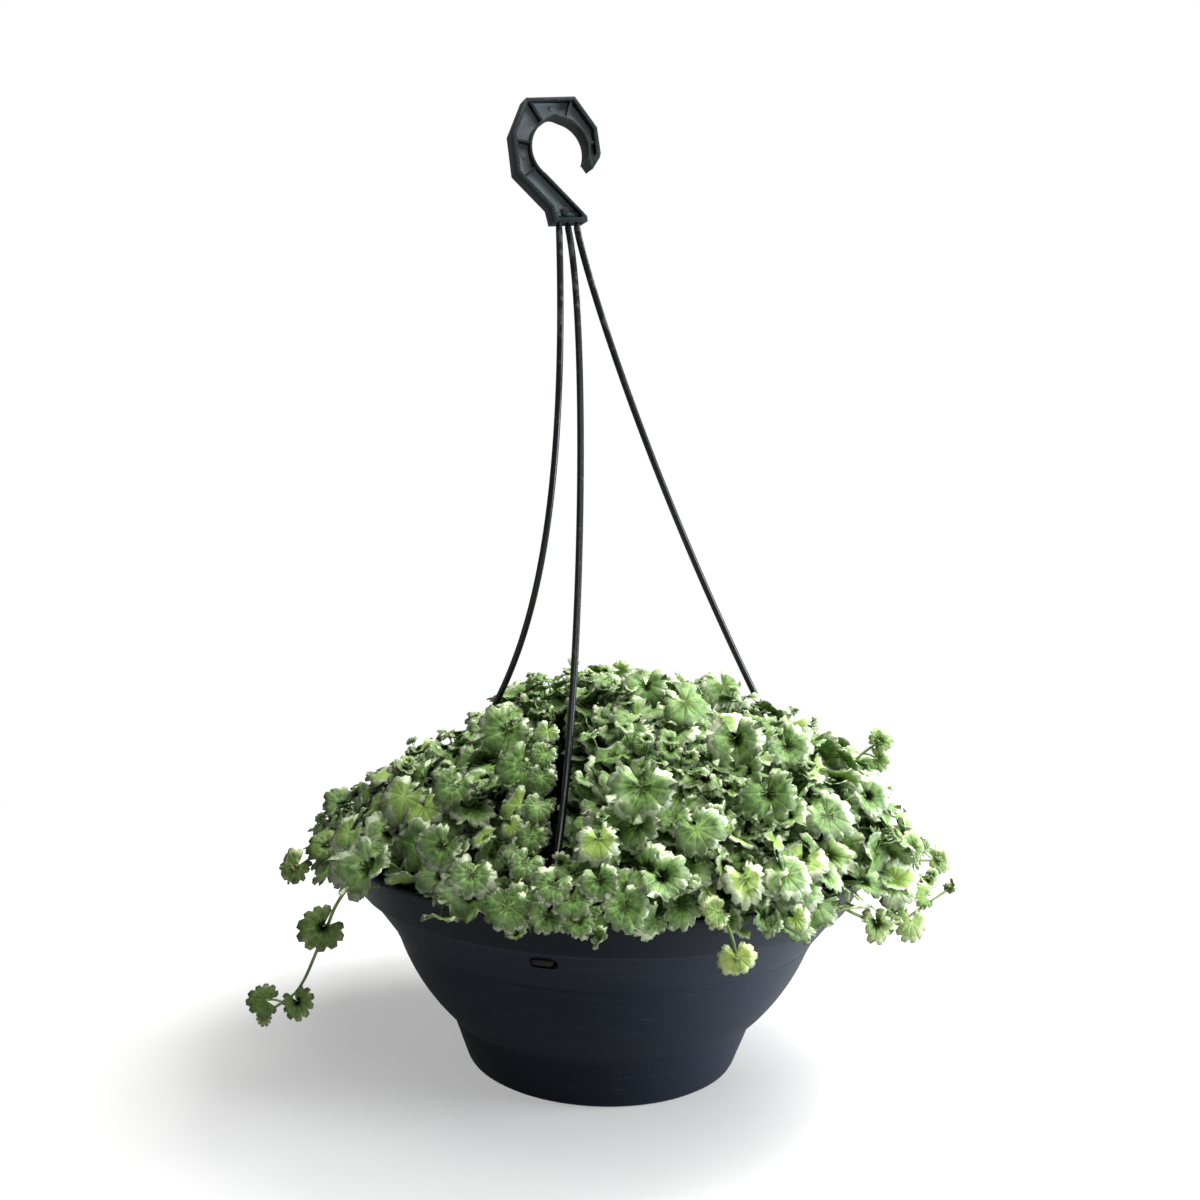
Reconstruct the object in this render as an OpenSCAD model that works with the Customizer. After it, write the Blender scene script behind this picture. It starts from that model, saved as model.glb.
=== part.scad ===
// Planted hanging basket: a flared plastic bowl, three clip-in hanger stems and a moulded hook.
// Millimetres. +Z is up, the base stands on z = 0, the bowl turns about the Z axis, the front is -Y.
// Azimuths are counted from the front, and go round through +X.

/* [Bowl] */
// Outside radius of the rim
rim_r = 150; // [146:1:156]
// Height of the rim above the base
bowl_h = 124; // [122:0.5:126]
// Height of the flared band below the rim
band_h = 22; // [20:0.5:23]
// Flare of the band: how much wider the rim is than the band's lower edge
band_flare = 10; // [6:0.5:12]
// Step in under the band's lower edge
band_step = 2.8; // [2:0.1:3.5]
// Radius of the bead around the wall
bead_r = 119; // [116:0.5:121]
// Height of the bead above the base
bead_z = 77; // [74:0.5:80]
// Radius of the wall where the foot starts
foot_top_r = 87; // [84:0.5:90]
// Height of the foot
foot_h = 28; // [24:0.5:32]
// Radius of the base
base_r = 76.5; // [72:0.5:80]
// Bulge of the wall between the foot and the bead
wall_bulge = 3.7; // [2:0.1:5]
// Thickness of the wall
wall_t = 2.2; // [1.8:0.1:2.6]
// Diameter of a drainage hole
drain_d = 8; // [5:0.5:10]
// Number of drainage holes
drain_count = 6; // [4:1:8]

/* [Hanger] */
// Diameter of a stem
stem_d = 3.8; // [3.4:0.1:4]
// Diameter of the ball head at the top of a stem
head_d = 4.8; // [4.6:0.1:4.9]
// Height of the middle ball head above the base
head_z = 476; // [460:1:490]
// Distance between ball heads
head_pitch = 5.3; // [5.2:0.1:5.4]
// Sideways offset of the hook from the bowl's axis, because the hanger leans
hook_x = -31.5; // [-36:0.5:-26]
// Turn of the hook about the vertical
hook_yaw = 20; // [15:1:25]
// Lean of the hook in its own plane
hook_lean = 7.5; // [4:0.5:10]
// Azimuth of the front stem's slot in the bowl
front_az = -13; // [-14:0.5:-12]

/* [Hook] */
// Thickness of the hook
hook_t = 12; // [11.5:0.5:14]
// Thickness of the hook's web
web_t = 2.4; // [2:0.1:3]
// Thickness of the flange around the hook's eye
eye_flange_t = 1.3; // [1.1:0.1:1.6]
// Radius of the eye that takes the bracket
eye_r = 16.4; // [16:0.2:16.8]
// Radius of the seat at the top of the eye
seat_r = 6; // [5:0.5:7]

/* [Planting] */
// Height of the soil over the root balls
soil_z = 86; // [84:0.5:88]
// Distance from the bowl's axis to each plant
plant_r = 60; // [56:1:62]
// Radius of a root ball at its top
root_r = 24; // [20:1:26]
// Radius of a crown of plant stems where it meets the leaves
crown_r = 16; // [12:1:18]

/* [Hidden] */
$fn = 96;

plastic_dark = [0.13, 0.14, 0.17];
plastic_hanger = [0.10, 0.15, 0.15];
soil_brown = [0.16, 0.11, 0.08];
root_cream = [0.72, 0.66, 0.52];
shoot_green = [0.52, 0.62, 0.30];
leaf_green = [0.45, 0.60, 0.32];

// Bowl profile
band_r = rim_r - band_flare;
band_z = bowl_h - band_h;
edge_r = 3.6;
lip_r = 1.1;
floor_z = 3;
skin = 1.25 * wall_t;

// Drainage holes
drain_ring = 50;
drain_cut = 2 * floor_z;

// Slots for the stem feet, just under the band
slot_w = 14;
slot_h = 6.4;
slot_cut = 14;
slot_z = band_z - 6;
right_az = front_az + 120;
left_az = front_az - 120;

// Wall at the height of the slots
wall_slope = atan((band_r - band_step - bead_r) / (band_z - bead_z));
slot_r = bead_r + (slot_z - bead_z) * tan(wall_slope);

// Foot of a stem: the knee inside the rim, the flat tab behind the slot and the peg through it
knee_in = 10;
knee_drop = 2;
tab_t = 3;
tab_h = 9;
tab_gap = 0.6;
tab_rise = 0.8;
peg_w = 10;
peg_h = 2.8;
peg_z = slot_z + 1.3;
peg_out = 2.8;

// Socket for the ball heads, along the lower edge of the hook
head_h = 3.2;
socket_r = head_d / 2 + 0.05;
socket_wall = 1.2;
neck_d = 2.8;
neck_len = 3.3;
stem_top = 5.2;
mouth_w = 4;
mouth_flare = 6.6;
mouth_len = 2 * head_pitch + neck_d + 1.2;

// Hook: outline, front view, u to the right and h up from the underside of its socket block
eye_c = [-2.7, 39.6];
seat_c = [-4, 51.2];
hook_outline = [[-10.2, 0], [9.2, 0], [9.2, 2.8], [6.6, 5.8], [-13.9, 27.9], [-3, 40], [12.8, 32.2],
    [15.2, 28.5], [19.9, 34.5], [20.7, 36.8], [19.9, 50.9], [8.5, 67.5], [-19.8, 66.7],
    [-29.5, 48.4], [-29, 27.2], [-11.6, 8.2]];
pocket_outline = [[-8.2, 2.2], [5.4, 2.2], [6.5, 3.2], [5.3, 5.1], [-15.0, 26.9], [-3, 40], [15.2, 33.6],
    [18.2, 36.9], [17.7, 50.4], [7.4, 65.4], [-18.6, 64.8], [-27.2, 48.0], [-26.8, 28.0], [-9.6, 9.2]];
rib_t = 1.6;
rib_drop = 1;
rib_angles = [9.5, 70, 120, 167.5, 213];
rib_len = 40;
boss_at = [-2.9, 5.9];
boss_r = 2.2;
pin_marks = [[-4.2, 62], [-22.7, 36.7]];
pin_r = 1.4;
pin_rise = 0.4;

// Soil and plants
soil_gap = 0.15;
soil_edge_z = soil_z - 7;
soil_shoulder_r = 86;
soil_slope_w = 10;
root_bottom_z = 34;
root_taper = 6;
crown_foot_r = 9;
leaf_floor_z = 112;
left_plant = 200;
right_plant = -42;
back_plant = 80;
gap_w = 15;
front_gap = [-7.5, 20];
shoot_d = 2;
stalk_d = 1.4;
leaf_t = 2.4;

function unit(v) = v / norm(v);
function polar(r, a) = [r * cos(a), r * sin(a)];
function lift(p, z) = [p.x, p.y, z];

// Points from a to b along a shallow arc that bulges to the right of the way from a to b
function bulged(a, b, bulge, n) = let (d = unit(b - a))
    [for (i = [0:n]) let (t = i / n) a + t * (b - a) + 4 * bulge * t * (1 - t) * [d.y, -d.x]];

// Point at t on a cubic curve with four control points
function bezier(c, t) = pow(1 - t, 3) * c[0] + 3 * pow(1 - t, 2) * t * c[1]
    + 3 * (1 - t) * pow(t, 2) * c[2] + pow(t, 3) * c[3];

// Point at t between p1 and p2 on a smooth curve through all four points
function spline(p0, p1, p2, p3, t) = 0.5 * (2 * p1 + (p2 - p0) * t
    + (2 * p0 - 5 * p1 + 4 * p2 - p3) * pow(t, 2) + (3 * p1 - p0 - 3 * p2 + p3) * pow(t, 3));

// A route through every point, with n steps between neighbours
function route(pts, n) = let (m = len(pts) - 1) concat(
    [for (i = [0:m - 1]) for (k = [0:n - 1])
        spline(pts[max(i - 1, 0)], pts[i], pts[i + 1], pts[min(i + 2, m)], k / n)],
    [pts[m]]);

// A round tube along a path; side is a direction that the path never follows
module tube(path, d, sides, side) {
    m = len(path) - 1;
    points = [for (i = [0:m])
        let (t = unit(path[min(i + 1, m)] - path[max(i - 1, 0)]), u = unit(cross(t, side)), v = cross(t, u))
        for (k = [0:sides - 1]) path[i] + d / 2 * (cos(360 * k / sides) * u + sin(360 * k / sides) * v)];
    walls = [for (i = [0:m - 1]) for (k = [0:sides - 1]) let (j = (k + 1) % sides)
        [i * sides + k, (i + 1) * sides + k, (i + 1) * sides + j, i * sides + j]];
    start = [for (k = [0:sides - 1]) k];
    end = [for (k = [sides - 1:-1:0]) m * sides + k];
    polyhedron(points, concat([start], walls, [end]), convexity = 6);
}

// Outer profile of the bowl from the base to the rim
function outer_profile() = concat(
    [for (a = [-90:22.5:0]) [base_r - edge_r, edge_r] + polar(edge_r, a)],
    bulged([foot_top_r, foot_h], [bead_r, bead_z], wall_bulge, 8),
    [[bead_r + 0.9, bead_z + 0.6], [bead_r + 1.3, bead_z + 2.4], [bead_r + 1.9, bead_z + 3.4]],
    [[band_r - band_step, band_z], [band_r, band_z], [rim_r, bowl_h - lip_r]],
    [for (a = [45:45:135]) [rim_r - lip_r, bowl_h - lip_r] + polar(lip_r, a)]);

// Inner profile from the rim down to the floor, as far in as gap takes it
function inner_profile(gap) = concat(
    [[rim_r - 2 * lip_r - gap, bowl_h - lip_r], [band_r - skin - gap, band_z + wall_t],
     [band_r - band_step - skin - gap, band_z - wall_t], [bead_r - skin - gap, bead_z]],
    [for (p = bulged([bead_r, bead_z], [foot_top_r, foot_h], -wall_bulge, 8)) p - [skin + gap, 0]],
    [[base_r - wall_t - gap, floor_z + edge_r], [base_r - wall_t - edge_r, floor_z]]);

module at_azimuth(az) {
    rotate([0, 0, az - 90]) children();
}

module bowl() {
    color(plastic_dark)
    difference() {
        rotate_extrude($fn = 180)
            polygon(concat([[0, 0]], outer_profile(), inner_profile(0), [[0, floor_z]]));
        for (az = [front_az, right_az, left_az])
            at_azimuth(az) translate([slot_r, 0, slot_z]) cube([slot_cut, slot_w, slot_h], center = true);
        for (i = [0:drain_count - 1])
            rotate([0, 0, (i + 0.5) * 360 / drain_count]) translate([drain_ring, 0, -1])
                cylinder(h = drain_cut, d = drain_d);
    }
}

// Tangent edge between two circles, on the side that turn picks (1 or -1)
function tangent_points(c1, r1, c2, r2, turn) =
    let (d = c2 - c1, a = atan2(d.y, d.x) + turn * acos((r1 - r2) / norm(d)))
    [c1 + polar(r1, a), c2 + polar(r2, a)];

// The eye of the hook with its narrower seat at the top
module eye_2d(grow) {
    left = tangent_points(eye_c, eye_r + grow, seat_c, seat_r + grow, 1);
    right = tangent_points(eye_c, eye_r + grow, seat_c, seat_r + grow, -1);
    translate(eye_c) circle(eye_r + grow);
    translate(seat_c) circle(seat_r + grow);
    polygon([left[0], left[1], right[1], right[0]]);
}

module ribs_2d() {
    for (a = rib_angles)
        translate(eye_c) rotate(a) translate([0, -rib_t / 2]) square([rib_len, rib_t]);
}

// One side's pocket, from the web out past the face
module pocket(depth) {
    linear_extrude(depth) difference() {
        polygon(pocket_outline);
        eye_2d(eye_flange_t);
    }
}

// Outline of the hook with its eye cut out
module hook_2d() {
    difference() {
        polygon(hook_outline);
        eye_2d(0);
    }
}

// The hook seen from the front, h up from the underside of its plate, faces at half its thickness
module hook_plate() {
    depth = (hook_t - web_t) / 2;
    difference() {
        linear_extrude(hook_t) hook_2d();
        translate([0, 0, hook_t - depth]) pocket(depth + 1);
        translate([0, 0, -1]) pocket(depth + 1);
    }
    translate([0, 0, rib_drop]) linear_extrude(hook_t - 2 * rib_drop) intersection() {
        ribs_2d();
        difference() {
            polygon(pocket_outline);
            eye_2d(eye_flange_t);
        }
    }
    translate([boss_at.x, boss_at.y, rib_drop]) cylinder(h = hook_t - 2 * rib_drop, r = boss_r);
    for (p = pin_marks)
        translate([p.x, p.y, depth - pin_rise]) cylinder(h = web_t + 2 * pin_rise, r = pin_r);
}

// A round bar along the row of ball heads, with round ends about the outer two
module head_row(r) {
    translate([-head_pitch, 0, 0]) rotate([0, 90, 0]) cylinder(h = 2 * head_pitch, r = r);
    for (i = [-1, 1]) translate([i * head_pitch, 0, 0]) sphere(r = r);
}

// Mouth of the socket: it lets the necks out and flares downwards so that the hook can rock
module socket_mouth() {
    rotate([90, 0, 90]) translate([0, 0, -mouth_len / 2]) linear_extrude(mouth_len)
        polygon([[-mouth_w / 2, 0], [mouth_w / 2, 0], [mouth_flare / 2, -head_h - 1],
            [-mouth_flare / 2, -head_h - 1]]);
}

// Turns the hook's own plane upright, with the ball heads along the X axis
module hook_upright() {
    translate([0, hook_t / 2, -head_h]) rotate([90, 0, 0]) children();
}

// The hook holds the three ball heads in one socket along its lower edge
module hook() {
    color(plastic_hanger)
    translate([hook_x, 0, head_z]) rotate([0, -hook_lean, hook_yaw]) difference() {
        union() {
            hook_upright() hook_plate();
            intersection() {
                head_row(socket_r + socket_wall);
                hook_upright() linear_extrude(hook_t) polygon(hook_outline);
            }
        }
        head_row(socket_r);
        socket_mouth();
    }
}

// Where a ball head sits: i = -1, 0 or 1 along the hook's socket
function head_at(i) = [hook_x, 0, head_z] + i * head_pitch
    * [cos(hook_lean) * cos(hook_yaw), cos(hook_lean) * sin(hook_yaw), sin(hook_lean)];

// Point where a stem meets its foot, inside the rim
function knee_at(az) = lift(polar(rim_r - knee_in, az - 90), bowl_h - knee_drop);

// Control points of a stem. Each handle is [outwards, sideways, along Z], outwards being the level way
// from its ball head to its foot.
function stem_curve(i, az, top, bottom) = let (
    head = head_at(i) - [0, 0, stem_top],
    knee = knee_at(az),
    out = unit([knee.x - head.x, knee.y - head.y, 0]),
    side = [-out.y, out.x, 0])
    [head, head + top[0] * out + top[1] * side + [0, 0, top[2]],
     knee + bottom[0] * out + bottom[1] * side + [0, 0, bottom[2]], knee];

// A stem: ball head, neck, bowed rod and the foot whose peg clips through the bowl's slot
module stem(i, az, slot_az, top, bottom) {
    curve = stem_curve(i, az, top, bottom);
    tab_r = slot_r - skin - (tab_gap + tab_t / 2) / cos(wall_slope);
    color(plastic_hanger) {
        translate(head_at(i)) {
            sphere(d = head_d);
            translate([0, 0, -neck_len]) cylinder(h = neck_len, d = neck_d);
            translate([0, 0, -stem_top]) cylinder(h = stem_top - neck_len, d1 = stem_d, d2 = neck_d);
        }
        tube([for (k = [0:32]) bezier(curve, k / 32)], stem_d, 12, [0.2, 1, 0]);
        hull() {
            translate(curve[3]) sphere(d = stem_d, $fn = 16);
            at_azimuth(slot_az) translate([tab_r, 0, slot_z + tab_rise]) rotate([0, wall_slope, 0])
                cube([tab_t, peg_w, tab_h], center = true);
        }
        at_azimuth(slot_az) translate([tab_r, -peg_w / 2, peg_z - peg_h / 2])
            cube([slot_r + peg_out - tab_r, peg_w, peg_h]);
    }
}

module stem_front() {
    stem(0, front_az + 1, front_az, [-15, 14.5, -60], [-70, 15, 50]);
}

module stem_right() {
    stem(1, right_az, right_az, [2, 0, -15], [-112, 0, 183]);
}

module stem_left() {
    stem(-1, left_az, left_az, [-27, 0, -258], [-39, 2, 73]);
}

// Root ball of the plant that stands at angle a, with the taper of the pot it grew in
module root_ball(a) {
    color(root_cream)
    translate(lift(polar(plant_r, a), root_bottom_z))
        cylinder(h = soil_z - root_bottom_z, r1 = root_r - root_taper, r2 = root_r);
}

// Crown: the bundle of plant stems between the root ball and the leaves
module crown(a) {
    color(shoot_green)
    translate(lift(polar(plant_r, a), soil_z))
        cylinder(h = leaf_floor_z - soil_z, r1 = crown_foot_r, r2 = crown_r);
}

module potting_soil() {
    below = [for (p = inner_profile(soil_gap)) if (p.y < soil_edge_z - 1) p];
    edge = [bead_r - skin - soil_gap + (soil_edge_z - bead_z) * tan(wall_slope), soil_edge_z];
    color(soil_brown)
    difference() {
        rotate_extrude($fn = 180)
            polygon(concat([[0, soil_z], [soil_shoulder_r, soil_z],
                [soil_shoulder_r + soil_slope_w, soil_edge_z], edge], below, [[0, floor_z]]));
        for (a = [left_plant, right_plant, back_plant]) root_ball(a);
    }
}

// Half section of a mound of leaves. round is 1 for a full shoulder and 2 for a shallow slope.
module mound_2d(spread, top, round) {
    brim_z = leaf_floor_z + 6;
    dome = [for (k = [10:-1:0]) let (t = sin(9 * k))
        [spread * t, brim_z + (top - brim_z) * pow(1 - pow(t, 2.2), round / 2)]];
    polygon(concat([[0, leaf_floor_z], [spread - 6, leaf_floor_z]], dome));
}

// Room around the bowl's rim, which the leaves lie over without touching
module rim_room() {
    low = leaf_floor_z - 10;
    rotate_extrude() polygon([[rim_r - 46, low], [rim_r - 46, leaf_floor_z], [rim_r - 26, bowl_h + 3],
        [rim_r + 4, bowl_h + 3], [rim_r + 4, low]]);
}

// Level angle of the way from a ball head to its stem's foot
function out_angle(i, az) = let (d = knee_at(az) - head_at(i)) atan2(d.y, d.x);

// Leaves of one plant, in the wedge between two stems, with room for the stems to swing
module foliage(from, to, shift, spread, top, round) {
    hub = [hook_x, 0];
    far = 3 * rim_r;
    color(leaf_green)
    difference() {
        intersection() {
            translate([shift, 0, 0]) rotate_extrude() mound_2d(spread, top, round);
            linear_extrude(2 * top) polygon([hub, hub + polar(far, from),
                hub + polar(2 * far, (from + to) / 2), hub + polar(far, to)]);
        }
        rim_room();
        translate([0, 0, leaf_floor_z - 20]) {
            stem_gap(0, front_az + 1, front_gap[0], front_gap[1]);
            stem_gap(1, right_az, -gap_w / 2, gap_w);
            stem_gap(-1, left_az, -gap_w / 2, gap_w);
        }
    }
}

// The upright slot in the leaves where a stem hangs and swings
module stem_gap(i, az, side, width) {
    translate(lift([head_at(i).x, head_at(i).y], 0)) rotate([0, 0, out_angle(i, az)])
        translate([-gap_w / 2, side, 0]) cube([2 * rim_r, width, rim_r]);
}

front_out = out_angle(0, front_az + 1);
right_out = out_angle(1, right_az);
left_out = out_angle(-1, left_az);

// A round bar from a to b
module bar(a, b, d) {
    way = b - a;
    translate(a) rotate([0, acos(way.z / norm(way)), atan2(way.y, way.x)]) cylinder(h = norm(way), d = d);
}

// A trailing shoot: a thin stem through pts. A leaf is [where it leaves the stem, its middle, radius, tilt].
module shoot(pts, side, leaves) {
    color(shoot_green) {
        tube(route(pts, 4), shoot_d, 8, side);
        for (l = leaves) bar(pts[l[0]], l[1], stalk_d);
    }
    color(leaf_green) for (l = leaves)
        translate(l[1]) rotate(l[3]) translate([0, 0, -leaf_t / 2]) cylinder(h = leaf_t, r = l[2]);
}

module root_ball_left() { root_ball(left_plant); }
module root_ball_right() { root_ball(right_plant); }
module root_ball_back() { root_ball(back_plant); }

module crown_left() { crown(left_plant); }
module crown_right() { crown(right_plant); }
module crown_back() { crown(back_plant); }

module foliage_left() { foliage(left_out, front_out + 360, -10, 166, 204, 1.8); }
module foliage_right() { foliage(front_out, right_out, 16, 168, 221, 1.3); }
module foliage_back() { foliage(right_out, left_out, 4, 166, 223, 1.5); }

// Hangs well below the rim on the left
module trailing_shoot_left() {
    shoot([[-112, -78, 129], [-128, -88, 122], [-137, -90, 110], [-142, -88, 98], [-147, -86, 86],
        [-151, -84, 76], [-155, -82, 67], [-160, -80, 59], [-167, -78, 53], [-176, -75, 46]], [0.5, -0.85, 0],
        [[3, [-147, -96, 96], 11, [60, 0, 10]], [8, [-179, -82, 56], 8, [70, 20, 0]],
         [7, [-156, -88, 54], 8, [60, -10, 0]], [9, [-178, -76, 42], 4, [80, 0, 0]]]);
}

// Sticks out over the rim on the left
module side_shoot_left() {
    shoot([[-122, -54, 130], [-139, -60, 129], [-149, -62, 129], [-157, -62, 125], [-164, -62, 120]],
        [0, 1, 0],
        [[2, [-151, -68, 133], 9, [40, 10, 0]], [4, [-167, -64, 118], 9, [60, 0, -20]]]);
}

// Falls over the front of the rim
module trailing_shoot_front() {
    shoot([[40, -124, 141], [45, -146, 139], [51, -157, 132], [56, -161, 122], [58, -162, 114]], [1, 0, 0],
        [[4, [59, -166, 111], 8, [80, 0, 0]], [2, [46, -164, 133], 7, [60, 0, 20]]]);
}

// Goes over the rim at the front right and turns up again at its tip
module trailing_shoot_right() {
    shoot([[84, -98, 137], [94, -109, 136], [105, -114, 130], [118, -109, 120], [132, -98, 112],
        [146, -84, 106], [157, -72, 105], [169, -62, 109], [184, -52, 115]], [0, 0, 1],
        [[4, [136, -104, 108], 9, [60, 0, 30]], [6, [158, -79, 101], 9, [70, 0, 20]],
         [5, [144, -90, 116], 8, [50, 0, 40]], [7, [164, -70, 117], 7, [50, 0, 30]],
         [8, [187, -50, 117], 4, [0, 60, 0]]]);
}

// Reaches out on the right, nearly level
module side_shoot_right() {
    shoot([[124, -68, 138], [138, -66, 135], [149, -62, 133], [158, -58, 132], [167, -54, 131],
            [177, -50, 130]],
        [0, 0, 1],
        [[3, [164, -56, 142], 8, [70, 0, 30]], [5, [181, -50, 129], 7, [60, 30, 0]],
         [2, [147, -66, 142], 7, [40, 0, 0]]]);
}

// Stands out of the mound at the upper right
module upper_shoot_right() {
    shoot([[128, 2, 156], [137, 1, 168], [146, 0, 178], [154, 0, 184]], [0, 1, 0],
        [[3, [157, 0, 188], 7, [60, 20, 0]], [2, [157, -3, 174], 7, [70, 30, 0]]]);
}

// Falls behind the rim on the left
module trailing_shoot_back_left() {
    shoot([[-80, 118, 134], [-90, 134, 133], [-98, 143, 125], [-103, 148, 112], [-106, 151, 100],
            [-110, 154, 88]],
        [0.83, 0.55, 0],
        [[3, [-103, 156, 108], 8, [-70, 0, 30]], [5, [-112, 158, 83], 8, [-60, 0, 30]]]);
}

// Falls behind the rim on the right
module trailing_shoot_back_right() {
    shoot([[82, 112, 136], [94, 128, 134], [102, 138, 127], [108, 146, 115], [114, 150, 103]], [0.8, -0.6, 0],
        [[3, [107, 155, 112], 8, [-70, 0, -30]], [4, [116, 154, 98], 8, [-60, 0, -30]]]);
}

bowl();
hook();
stem_front();
stem_right();
stem_left();
potting_soil();
root_ball_left();
root_ball_right();
root_ball_back();
crown_left();
crown_right();
crown_back();
foliage_left();
foliage_right();
foliage_back();
trailing_shoot_left();
side_shoot_left();
trailing_shoot_front();
trailing_shoot_right();
side_shoot_right();
upper_shoot_right();
trailing_shoot_back_left();
trailing_shoot_back_right();
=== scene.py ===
import math

import bmesh
import bpy
import numpy as np
from mathutils import Matrix, Vector


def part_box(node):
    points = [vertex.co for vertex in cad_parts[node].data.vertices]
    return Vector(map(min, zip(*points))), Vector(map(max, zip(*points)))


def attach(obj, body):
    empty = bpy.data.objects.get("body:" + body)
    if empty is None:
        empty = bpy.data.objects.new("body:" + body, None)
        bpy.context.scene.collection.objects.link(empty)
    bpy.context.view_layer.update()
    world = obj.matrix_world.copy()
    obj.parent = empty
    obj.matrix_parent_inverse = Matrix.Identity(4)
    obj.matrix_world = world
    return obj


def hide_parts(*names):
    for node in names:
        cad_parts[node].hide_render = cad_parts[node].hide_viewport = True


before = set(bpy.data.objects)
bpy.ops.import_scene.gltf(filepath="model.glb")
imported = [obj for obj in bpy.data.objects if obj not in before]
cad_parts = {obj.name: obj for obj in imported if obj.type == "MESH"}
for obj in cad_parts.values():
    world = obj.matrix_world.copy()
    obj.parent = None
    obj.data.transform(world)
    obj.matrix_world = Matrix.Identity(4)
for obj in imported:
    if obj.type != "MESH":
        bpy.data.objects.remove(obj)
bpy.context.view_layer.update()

mm = 0.001


# ---------------------------------------------------------------- studio
# A pale floor under the basket, two soft window lights at the right, high and low, a soft light over the
# front, and a camera below the hook that looks slightly down at the bowl.

lens = bpy.data.cameras.new("camera")
lens.sensor_width = 36
lens.lens = 37.92
camera = bpy.data.objects.new("camera", lens)
camera_place = (-0.0084, -0.7205, 0.3101)
camera_tip, camera_pan, camera_roll = math.radians(3.8), math.radians(-0.054), math.radians(1.618)
camera.matrix_world = (
    Matrix.Translation(camera_place)
    @ Matrix.Rotation(camera_pan, 4, "Z")
    @ Matrix.Rotation(math.pi / 2 - camera_tip, 4, "X")
    @ Matrix.Rotation(camera_roll, 4, "Z")
)
bpy.context.scene.collection.objects.link(camera)
bpy.context.scene.camera = camera
bpy.context.scene.view_settings.view_transform = "Standard"


class Wire:
    """An output socket. Arithmetic on it adds Math nodes, and node() adds any other node."""

    def __init__(self, tree, socket=None):
        self.tree, self.socket = tree, socket

    def node(self, kind, inputs=(), out=0, **settings):
        """A new node: its settings are set first, then its sockets get values or links."""
        made = self.tree.nodes.new(kind)
        stops = settings.pop("stops", ())
        for name, value in settings.items():
            setattr(made, name, value)
        for index, (place, colour) in enumerate(stops):
            ramp = made.color_ramp.elements
            step = ramp[index] if index < len(ramp) else ramp.new(place)
            step.position, step.color = place, colour
        for key, value in dict(inputs).items():
            if isinstance(value, Wire):
                self.tree.links.new(value.socket, made.inputs[key])
            else:
                made.inputs[key].default_value = value
        return Wire(self.tree, made.outputs[out] if made.outputs else None)

    def math(self, operation, *values):
        return self.node("ShaderNodeMath", enumerate(values), operation=operation)

    def __add__(self, other):
        return self.math("ADD", self, other)

    def __sub__(self, other):
        return self.math("SUBTRACT", self, other)

    def __rsub__(self, other):
        return self.math("SUBTRACT", other, self)

    def __mul__(self, other):
        return self.math("MULTIPLY", self, other)

    __radd__, __rmul__ = __add__, __mul__

    def axis(self, index):
        """One of a vector's three numbers."""
        return self.node("ShaderNodeSeparateXYZ", {0: self}, out=index)

    def between(self, low, high):
        """0 below low, 1 above high, smooth in between; high may be the smaller one."""
        inputs = {"Value": self, "From Min": low, "From Max": high}
        return self.node("ShaderNodeMapRange", inputs, interpolation_type="SMOOTHSTEP")

    def blend(self, first, second):
        """A colour that goes from first to second as this socket goes from 0 to 1."""
        inputs = {0: self, 6: first, 7: second}
        return self.node("ShaderNodeMix", inputs, out=2, data_type="RGBA")

    def noise(self, place, scale, detail=4.0, rough=0.55):
        inputs = {"Vector": place, "Scale": scale, "Detail": detail, "Roughness": rough}
        return self.node("ShaderNodeTexNoise", inputs)

    def cells(self, place, scale, jitter=1.0):
        inputs = {"Vector": place, "Scale": scale, "Randomness": jitter}
        return self.node("ShaderNodeTexVoronoi", inputs)

    def stretched(self, place, scale):
        return self.node("ShaderNodeMapping", {"Vector": place, "Scale": scale})


def rgb(red, green, blue):
    return (red, green, blue, 1.0)


def material(name, paint, **constants):
    """A Principled material. paint(wire) returns the sockets that vary, and a Height with its depth."""
    made = bpy.data.materials.new(name)
    made.use_nodes = True
    shader = next(n for n in made.node_tree.nodes if n.type == "BSDF_PRINCIPLED")
    wire = Wire(made.node_tree)
    varied = paint(wire)
    if "Height" in varied:
        height, depth = varied.pop("Height")
        inputs = {"Height": height, "Distance": depth, "Strength": 1.0}
        varied["Normal"] = wire.node("ShaderNodeBump", inputs)
    for key, value in varied.items():
        made.node_tree.links.new(value.socket, shader.inputs[key])
    for key, value in constants.items():
        shader.inputs[key.replace("_", " ")].default_value = value
    return made


def piece(name, points, faces, finishes, groups=None, uv=None, smooth=True):
    """A mesh object from points in metres. groups holds each face's finish, and uv a pair for each point."""
    mesh = bpy.data.meshes.new(name)
    mesh.from_pydata(np.asarray(points).tolist(), [], faces)
    for finish in finishes:
        mesh.materials.append(finish)
    if groups is not None:
        mesh.polygons.foreach_set("material_index", np.asarray(groups, np.int32))
    corners = np.empty(len(mesh.loops), np.int32)
    mesh.loops.foreach_get("vertex_index", corners)
    for label, pairs in (uv or {}).items():
        layer = mesh.uv_layers.new(name=label)
        layer.data.foreach_set("uv", np.asarray(pairs, np.float32)[corners].ravel())
    mesh.polygons.foreach_set("use_smooth", np.full(len(mesh.polygons), smooth))
    mesh.update()
    made = bpy.data.objects.new(name, mesh)
    bpy.context.scene.collection.objects.link(made)
    return made


def paint_floor(wire):
    place = wire.node("ShaderNodeTexCoord", out=3)
    mottle = wire.noise(place, 6.0, 2.0)
    away = wire.node("ShaderNodeVectorMath", {0: place}, out=1, operation="LENGTH")
    colour = mottle.blend(rgb(0.77, 0.77, 0.77), rgb(0.81, 0.81, 0.81))
    return {"Base Color": colour, "Alpha": away.between(0.95, 0.35) * 0.62}


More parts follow.
